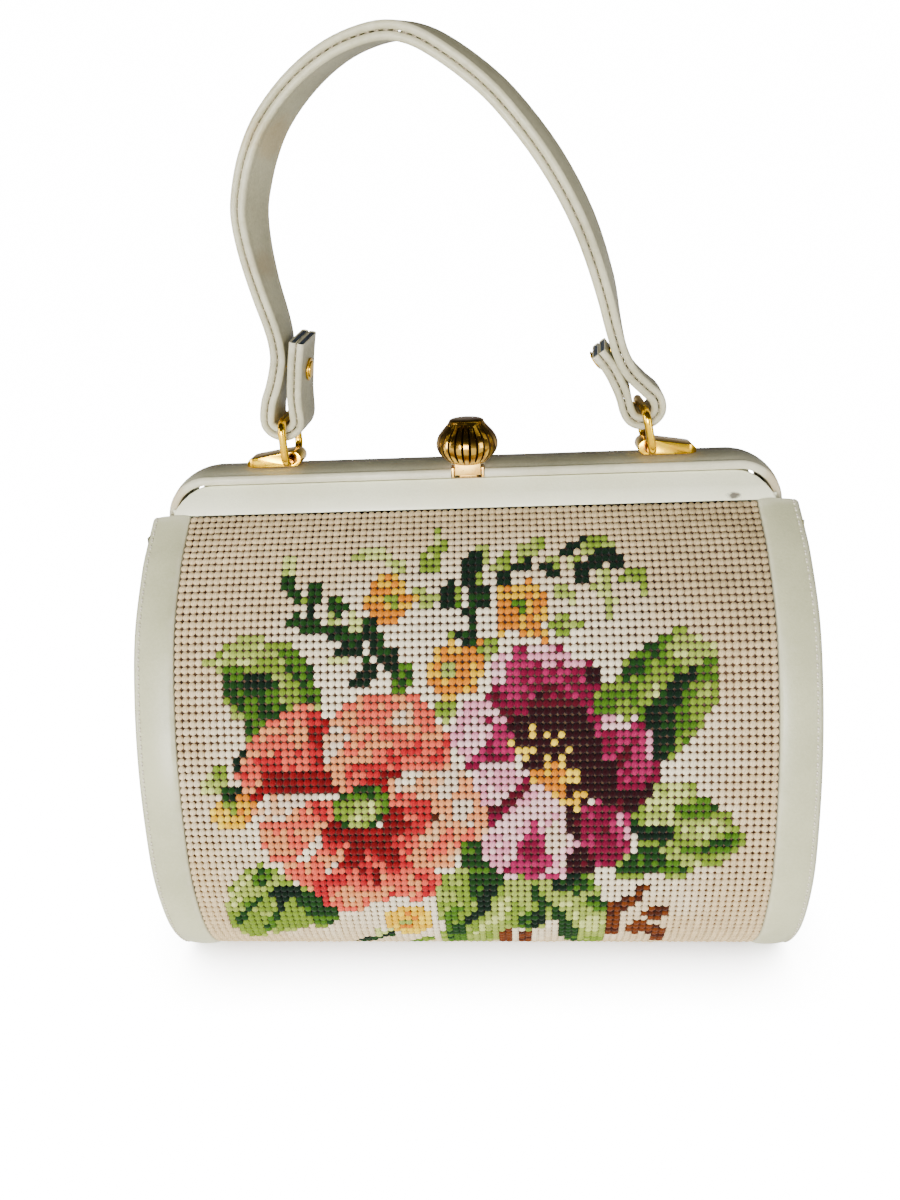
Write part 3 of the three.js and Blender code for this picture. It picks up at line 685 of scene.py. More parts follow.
# %% [markdown]
# ## The half frames
# Under each lip lies a half frame, a thin sloping face that the canvas is sewn into. The CAD shape is
# right but sharp, so a copy of it gets its edges rounded, as leather turned over an edge is.

# %% Half frames
half_frames = []
for end in ("front", "rear"):
    piece = rounded(copy_of(end + "_frame", end + "_cover"), 0.45)
    half_frames.append(settle(piece, angle=35))
    tell(piece)

# %% [markdown]
# ## The ball
# The clasp's knob is a cast ball, shaped like an onion, with 26 flat ribs and a smooth button on top.
# A circle is drawn at the bottom and extruded upwards ring by ring, each ring scaled to the ball's width
# at its height. Then every sixth column of points is pushed in along the normals, for the grooves.

# %% Turn the ball's outline
BALL_ROWS = [(-0.985, 0.46), (-0.93, 0.58), (-0.82, 0.7), (-0.66, 0.83), (-0.46, 0.935), (-0.26, 0.99),
             (-0.06, 0.995), (0.12, 0.965), (0.28, 0.91), (0.42, 0.835), (0.54, 0.755), (0.64, 0.685),
             (0.72, 0.635), (0.78, 0.6), (0.815, 0.58), (0.85, 0.57), (0.89, 0.56), (0.93, 0.535),
             (0.965, 0.48), (0.985, 0.4), (1, 0.27)]  # height and width, as shares of the ball's halves
COLUMNS_OF_A_RIB = 6
GROOVED = (-0.9, 0.75)  # between these heights


def onion(name):
    low, first = BALL_ROWS[0]
    clear()
    bpy.ops.mesh.primitive_circle_add(vertices=RIBS * COLUMNS_OF_A_RIB, radius=first * BALL_RADIUS * MM,
                                      fill_type="NGON", location=(0, 0, low * BALL_HEIGHT / 2 * MM))
    piece = bpy.context.object
    piece.name = name
    bpy.ops.object.transform_apply(location=True)
    pick(piece, lambda at, normal: True)
    for (up, out), (next_up, next_out) in zip(BALL_ROWS, BALL_ROWS[1:]):
        rise = (0, 0, (next_up - up) * BALL_HEIGHT / 2 * MM)
        bpy.ops.mesh.extrude_region_move(TRANSFORM_OT_translate={"value": rise})
        bpy.ops.transform.resize(value=(next_out / out, next_out / out, 1))
    bpy.ops.mesh.select_all(action="SELECT")
    bpy.ops.mesh.normals_make_consistent(inside=False)
    leave()
    return piece


ball = onion("clasp_ball")


# %% Push in the grooves and put the ball in its place
def groove_step(at, steps):
    """Whether a point stands a number of columns beside the middle of a groove."""
    column = round(math.atan2(at.y, at.x) / (2 * math.pi) * RIBS * COLUMNS_OF_A_RIB) % COLUMNS_OF_A_RIB
    height = at.z / (BALL_HEIGHT / 2)
    return GROOVED[0] < height < GROOVED[1] and column in steps


count = pick(ball, lambda at, point: groove_step(at, (0,)), "VERT")
bpy.ops.transform.shrink_fatten(value=-RIB_DEPTH * MM)
leave()
print("pushed in", count, "points by", RIB_DEPTH, "mm")
deep = {v.index for v in ball.data.vertices if groove_step(v.co / MM, (0,))}
for face in ball.data.polygons:
    face.material_index = 1 if sum(corner in deep for corner in face.vertices) == 2 else 0
ball.location = (0, -BALL_SETBACK * MM, BALL_CENTRE * MM)
settle(ball, angle=50)
tell(ball)

# %% [markdown]
# ## Lever and housing
# Under the ball a small brass block turns on a pin between two cheeks. Block and tongue are cubes with
# bevelled edges, and the cheeks are a copy of the CAD piece.

# %% Lever and cheeks
def block(name, low, high, bevel):
    low, high = Vector(low) * MM, Vector(high) * MM
    clear()
    bpy.ops.mesh.primitive_cube_add(size=1, location=(low + high) / 2)
    piece = bpy.context.object
    piece.name = name
    piece.scale = high - low
    bpy.ops.object.transform_apply(location=True, rotation=True, scale=True)
    return rounded(piece, bevel)


LEVER_HALF, LEVER_FRONT, LEVER_DROP, LEVER_TOP = 4.9, -13.2, 1.9, BALL_CENTRE - 6.7
TONGUE_HALF, TONGUE_WALL, TONGUE_DROP = 3.4, 1.3, 7
lever_back = -BALL_SETBACK + 0.43 * 5.6
lever = block("clasp_lever", (-LEVER_HALF, LEVER_FRONT, LEVER_PIN - LEVER_DROP),
              (LEVER_HALF, lever_back, LEVER_TOP), 0.35)
tongue = block("clasp_tongue", (-TONGUE_HALF, lever_back - TONGUE_WALL, LEVER_PIN - TONGUE_DROP),
               (TONGUE_HALF, lever_back, LEVER_PIN), 0.2)
housing = rounded(copy_of("clasp_housing", "clasp_cheeks"), 0.15)
for piece in (lever, tongue, housing):
    settle(piece)
tell(lever, tongue, housing)

# %% [markdown]
# ## Brackets
# Each handle ring hangs in a bracket of cast brass, a flat sided wedge that points to the end of the bag
# and rises to a round eye. The CAD copy is cut to a tongue that is round in plan: a cube whose end edges
# get a wide bevel is the cutter. Small bevels then soften the edges, as polishing does.

# %% Brackets
TONGUE_STARTS, TONGUE_ROUND = 8, 5  # beyond the wedge's middle, and the bevel of its corners


def bracket(side):
    piece = copy_of("handle_bracket_" + SIDES[side], "bracket_" + SIDES[side])
    low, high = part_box("handle_bracket_" + SIDES[side])
    clear()
    bpy.ops.mesh.primitive_cube_add(size=1, location=(Vector(low) + Vector(high)) / 2)
    tongue_plan = bpy.context.object
    tongue_plan.scale = (high[0] - low[0] + 0.2 * MM, high[1] - low[1] + 0.2 * MM, 0.04)
    bpy.ops.object.transform_apply(location=True, rotation=True, scale=True)
    middle = (low[0] + high[0]) / 2 / MM
    pick(tongue_plan, lambda at, edge: side * (at.x - middle) > TONGUE_STARTS and
         abs(edge.verts[0].co.z - edge.verts[1].co.z) > 0.03, "EDGE")
    bpy.ops.mesh.bevel(offset=TONGUE_ROUND * MM, segments=10, profile=0.5)
    leave()
    finish_with(piece, "BOOLEAN", object=tongue_plan, operation="INTERSECT", solver="EXACT")
    bpy.data.objects.remove(tongue_plan)
    return settle(rounded(piece, 0.28, 3, 30), angle=40)


brackets = [bracket(side) for side in SIDES]
tell(*brackets)

# %% [markdown]
# ## Rings
# Each ring is a round wire bent to a rounded rectangle. Its path leans a little, as it hangs.

# %% Rings
RING_LEAN = 4
RING_ACROSS = {-1: 0, 1: -12}


def ring_axes(side):
    lean, across = math.radians(RING_LEAN), math.radians(RING_ACROSS[side])
    width = np.array([0, math.cos(lean), math.sin(lean)])
    rise = np.array([math.sin(across), -math.cos(across) * math.sin(lean), math.cos(across) * math.cos(lean)])
    lower = np.array([side * BRACKET_SPAN, 0, FRAME_TOP + EYE_RISE])
    return width, rise, lower, lower + rise * RING_HEIGHT


def handle_ring(side):
    width, rise, lower, _ = ring_axes(side)
    centre = lower + rise * RING_HEIGHT / 2
    normal = np.cross(width, rise)
    route = []
    for quarter in range(4):
        a_side, b_side = (1 if quarter in (0, 3) else -1), (1 if quarter < 2 else -1)
        for k in range(9):
            angle = (quarter + k / 8) * math.pi / 2
            out = math.cos(angle) * width + math.sin(angle) * rise
            middle = centre + a_side * (RING_HALF_WIDTH - RING_CORNER) * width
            middle = middle + b_side * (RING_HEIGHT / 2 - RING_CORNER) * rise + RING_CORNER * out
            route.append((middle, out))
    loops = [[middle + RING_WIRE * (math.cos(t) * out + math.sin(t) * normal)
              for t in np.arange(16) / 16 * 2 * math.pi] for middle, out in route]
    return settle(sweep("ring_" + SIDES[side], loops, ring=True), angle=80)


rings = [handle_ring(side) for side in SIDES]
tell(*rings)

# %% [markdown]
# ## The handle
# Two straps lie back to back. They rise from the left tab, fold round the left ring, arch over, fold
# round the right ring and end in the right tab. The strap has taken a slump to the left and twists as it
# goes, so its route is a smooth curve through chosen points, each with a twist of its own.

# %% The handle's route
# Each point: across, -1 and 1 at the rings, up as a share of the rise, drift in strap widths, and twist.
ARCH_ROWS = [
    (-1.063, 0.186, 0, 2), (-1.028, 0.226, 0, 1), (-1.001, 0.261, 0, 1), (-0.979, 0.304, 0.01, 0),
    (-0.976, 0.347, 0.03, 1), (-0.988, 0.39, 0.05, 2), (-1.023, 0.474, 0.07, 5), (-1.049, 0.572, 0.1, 10),
    (-1.048, 0.648, 0.13, 14), (-1.02, 0.702, 0.16, 16), (-0.963, 0.77, 0.2, 17), (-0.88, 0.835, 0.26, 17),
    (-0.724, 0.909, 0.3, 16), (-0.546, 0.963, 0.25, 14), (-0.386, 0.99, 0.17, 13), (-0.237, 0.999, 0.08, 12),
    (-0.12, 0.987, 0.01, 12), (0.003, 0.957, -0.07, 13), (0.17, 0.901, -0.18, 13), (0.282, 0.852, -0.24, 13),
    (0.48, 0.738, -0.35, 13), (0.647, 0.602, -0.4, 12), (0.764, 0.455, -0.35, 10), (0.819, 0.356, -0.25, 6),
    (0.864, 0.284, -0.17, 3), (0.92, 0.234, -0.1, 1), (1.002, 0.193, -0.05, 1), (1.07, 0.161, -0.02, 3),
]
# For each side: the twist of the fold, the twist of the tab, and the tab's points over the ring.
TABS = {-1: (2, 4, [(0.295, 0.3), (0.31, 0.5), (0.35, 0.76), (0.405, 1.08), (0.49, 1.48)]),
        1: (3, 6, [(0.35, 0.26), (0.46, 0.52), (0.61, 0.8), (0.82, 1.08)])}
HANDLE_LEAN = math.radians(9.8)


def ring_foot(side):
    """A ring's upper middle, and how far up the leaning handle it is."""
    upper = ring_axes(side)[3]
    return upper, (upper[2] - FRAME_TOP) / math.cos(HANDLE_LEAN)


def handle_point(x, up, drift):
    upper, foot = ring_foot(-1)
    y = upper[1] - (up - foot) * math.sin(HANDLE_LEAN) + drift * math.cos(HANDLE_LEAN)
    return (x, y, FRAME_TOP + up * math.cos(HANDLE_LEAN) + drift * math.sin(HANDLE_LEAN))


def handle_route():
    points, twists = [], []

    def add(x, up, drift, twist):
        points.append(handle_point(x, up, drift))
        twists.append(twist)

    def tab(side):
        upper, foot = ring_foot(side)
        rows = TABS[side][2]
        for towards, up in rows if side > 0 else rows[::-1]:
            add(upper[0] - side * towards * STRAP_WIDTH, foot + up * STRAP_WIDTH, 0, TABS[side][1])

    def fold(side):
        upper, foot = ring_foot(side)
        foot += FOLD_RADIUS - LAYER_WALL - 2 * CLEARANCE - RING_WIRE
        for angle in (-20, -55, -90, -125, -160):
            turned = math.radians(angle)
            add(upper[0] + FOLD_RADIUS * math.cos(turned), foot + FOLD_RADIUS * math.sin(turned), 0,
                TABS[side][0])

    tab(-1)
    fold(-1)
    left, right = ring_axes(-1)[3][0], ring_axes(1)[3][0]
    for across, up, drift, twist in ARCH_ROWS:
        add(left + (right - left) * (across + 1) / 2, up * HANDLE_RISE, drift * STRAP_WIDTH, twist)
    fold(1)
    tab(1)
    return np.array(points), np.array(twists, float)


def centripetal(points, share):
    """A point of a centripetal Catmull-Rom curve, which keeps its shape between uneven points."""
    last = len(points) - 1
    place = min(max(share, 0), 1) * last
    i = min(int(place), last - 1)
    t = place - i
    p1, p2 = points[i], points[i + 1]
    p0 = points[i - 1] if i > 0 else 2 * p1 - p2
    p3 = points[i + 2] if i + 2 <= last else 2 * p2 - p1
    d0, d1, d2 = (math.sqrt(np.linalg.norm(b - a)) for a, b in ((p0, p1), (p1, p2), (p2, p3)))
    m1 = ((p1 - p0) / d0 - (p2 - p0) / (d0 + d1) + (p2 - p1) / d1) * d1
    m2 = ((p2 - p1) / d1 - (p3 - p1) / (d1 + d2) + (p3 - p2) / d2) * d1
    return p1 + m1 * t + (3 * (p2 - p1) - 2 * m1 - m2) * t**2 + (2 * (p1 - p2) + m1 + m2) * t**3


def handle_stations(per_span=4):
    points, twists = handle_route()
    spans = len(points) - 1
    stations = []
    ring_top = ring_axes(-1)[3][2]
    for k in range(per_span * spans + 1):
        share = k / (per_span * spans)
        at = centripetal(points, share)
        twist = math.radians(np.interp(share * spans, np.arange(spans + 1), twists))
        risen = min(max((at[2] - ring_top) / (2 * STRAP_WIDTH), 0), 1)
        risen = risen * risen * (3 - 2 * risen)
        tip = math.radians(RING_LEAN) + (HANDLE_LEAN - math.radians(RING_LEAN)) * risen
        width = np.array([math.sin(twist), math.cos(twist) * math.cos(tip), math.cos(twist) * math.sin(tip)])
        along = centripetal(points, share + 0.0001) - centripetal(points, share - 0.0001)
        along /= np.linalg.norm(along)
        out = np.cross(along, width)
        stations.append((at, width, out / np.linalg.norm(out), along))
    return stations


stations = handle_stations()
route_length = sum(np.linalg.norm(b[0] - a[0]) for a, b in zip(stations, stations[1:]))
print("handle's route:", len(stations), "stations,", round(float(route_length)), "mm long")

# %% Straps with rolled edges
def strap_section(layer):
    half, near, far = STRAP_WIDTH / 2, CLEARANCE / 2, CLEARANCE / 2 + LAYER_WALL
    roll = (far - near) / 2
    edge = [(half - roll + roll * math.cos(t), near + roll + roll * math.sin(t))
            for t in np.radians(np.linspace(-75, 75, 9))]
    top = [(half - 2.2, far - 0.02), (half - 3.1, far - 0.12), (half - 4, far - 0.02)]
    right = [(half - 3, near)] + edge + top
    section = right + [(0, far)] + [(-a, lift) for a, lift in reversed(right)] + [(0, near)]
    return [(across, layer * lift) for across, lift in section]


def strap(name, layer):
    section = strap_section(layer)
    loops = [[at + width * across + out * lift for across, lift in section]
             for at, width, out, _ in stations]
    piece = settle(sweep(name, loops), angle=60)
    # The two cut ends are the only faces with many corners. They are drawn in and pushed back a little.
    mesh = edit(piece)
    for face in mesh.faces:
        face.select_set(len(face.verts) > 8)
    bmesh.update_edit_mesh(piece.data)
    bpy.ops.mesh.inset(thickness=0.55 * MM, depth=-0.35 * MM)
    leave()
    for face in piece.data.polygons:
        face.material_index = 1 if face.select else 0
    return piece


straps = [strap("strap_outer", 1), strap("strap_inner", -1)]
tell(*straps)

# %% Thread in the groove between the straps
HANDLE_PACE, HANDLE_THREAD = 3.0, 0.75  # the stitches' distance, and their size beside the bands' thread


def strap_thread(name, place):
    """Stitches in the groove, at a share of the strap's half width."""
    reach = np.cumsum([0] + [float(np.linalg.norm(b[0] - a[0])) for a, b in zip(stations, stations[1:])])
    marks = np.arange(HANDLE_PACE / 2, reach[-1] - 1, HANDLE_PACE)
    columns = [np.array([s[k] for s in stations]) for k in range(4)]
    at, width, out, along = ([np.stack([np.interp(marks, reach, col[:, c]) for c in range(3)], -1)
                              for col in columns])
    normal = width * np.sign(place)
    across = np.cross(along, normal)
    return copies(name, thread, at + width * place * STRAP_WIDTH / 2, across, along, normal,
                  np.full((len(marks), 3), HANDLE_THREAD))


strap_sewing = [strap_thread("strap_sewing_front", -0.9), strap_thread("strap_sewing_rear", 0.9)]
tell(*strap_sewing)

# %% [markdown]
# ## Rivets and pins
# A rivet closes each tab, and a hidden pin holds each leg of the frame. Both are turned shapes that the CAD
# model has right, so copies of them only get small bevels.

# %% Rivets and pins
rivets = [settle(rounded(copy_of("handle_rivet_" + side, "rivet_" + side), 0.2, 3, 30), angle=40)
          for side in SIDES.values()]
pins = [settle(rounded(copy_of("hinge_pin_" + side, "frame_pin_" + side), 0.2)) for side in SIDES.values()]
tell(*rivets, *pins)
bpy.data.objects.remove(stitch)
bpy.data.objects.remove(thread)

# %% [markdown]
# ## The flowers
# A needleworker counts a flower from a chart: this many stitches of rose, then of crimson. Here the
# chart is a list of patches drawn for a bouquet of the old fashioned kind. Each patch has one
# main wool, a second wool that is mixed into it, and the corners of its outline, counted in columns from
# the left and rows from the top seam. Later patches lie over earlier ones, and an indented line carries on
# the patch above it.

# %% The wools
WOOLS = {
    "tan": (224, 204, 168), "cream": (242, 232, 208), "shade": (160, 146, 112),
    "crimson": (128, 8, 26), "red": (146, 18, 34), "rose": (186, 48, 58), "coral": (222, 112, 92),
    "peach": (226, 162, 116), "sand": (226, 188, 150), "pale": (226, 210, 190),
    "maroon": (64, 8, 26), "wine": (104, 14, 46), "magenta": (134, 14, 72), "orchid": (170, 52, 106),
    "pink": (222, 162, 180), "blush": (236, 202, 204),
    "gold": (212, 142, 4), "yellow": (228, 188, 16), "straw": (240, 210, 76),
    "pine": (20, 54, 32), "forest": (42, 84, 32), "leaf": (94, 130, 40), "olive": (138, 160, 64),
    "sage": (168, 182, 100), "lime": (206, 214, 142), "brown": (128, 76, 26), "umber": (94, 50, 18),
}

# Wool drinks in light, so its dyes are deeper than the colour of a single bright thread.
DYE_DEPTH, DYE_SHARE = 1.42, 0.8
WOOL = {name: linear(colour) ** DYE_DEPTH * DYE_SHARE for name, colour in WOOLS.items()}
print(len(WOOL), "wools")

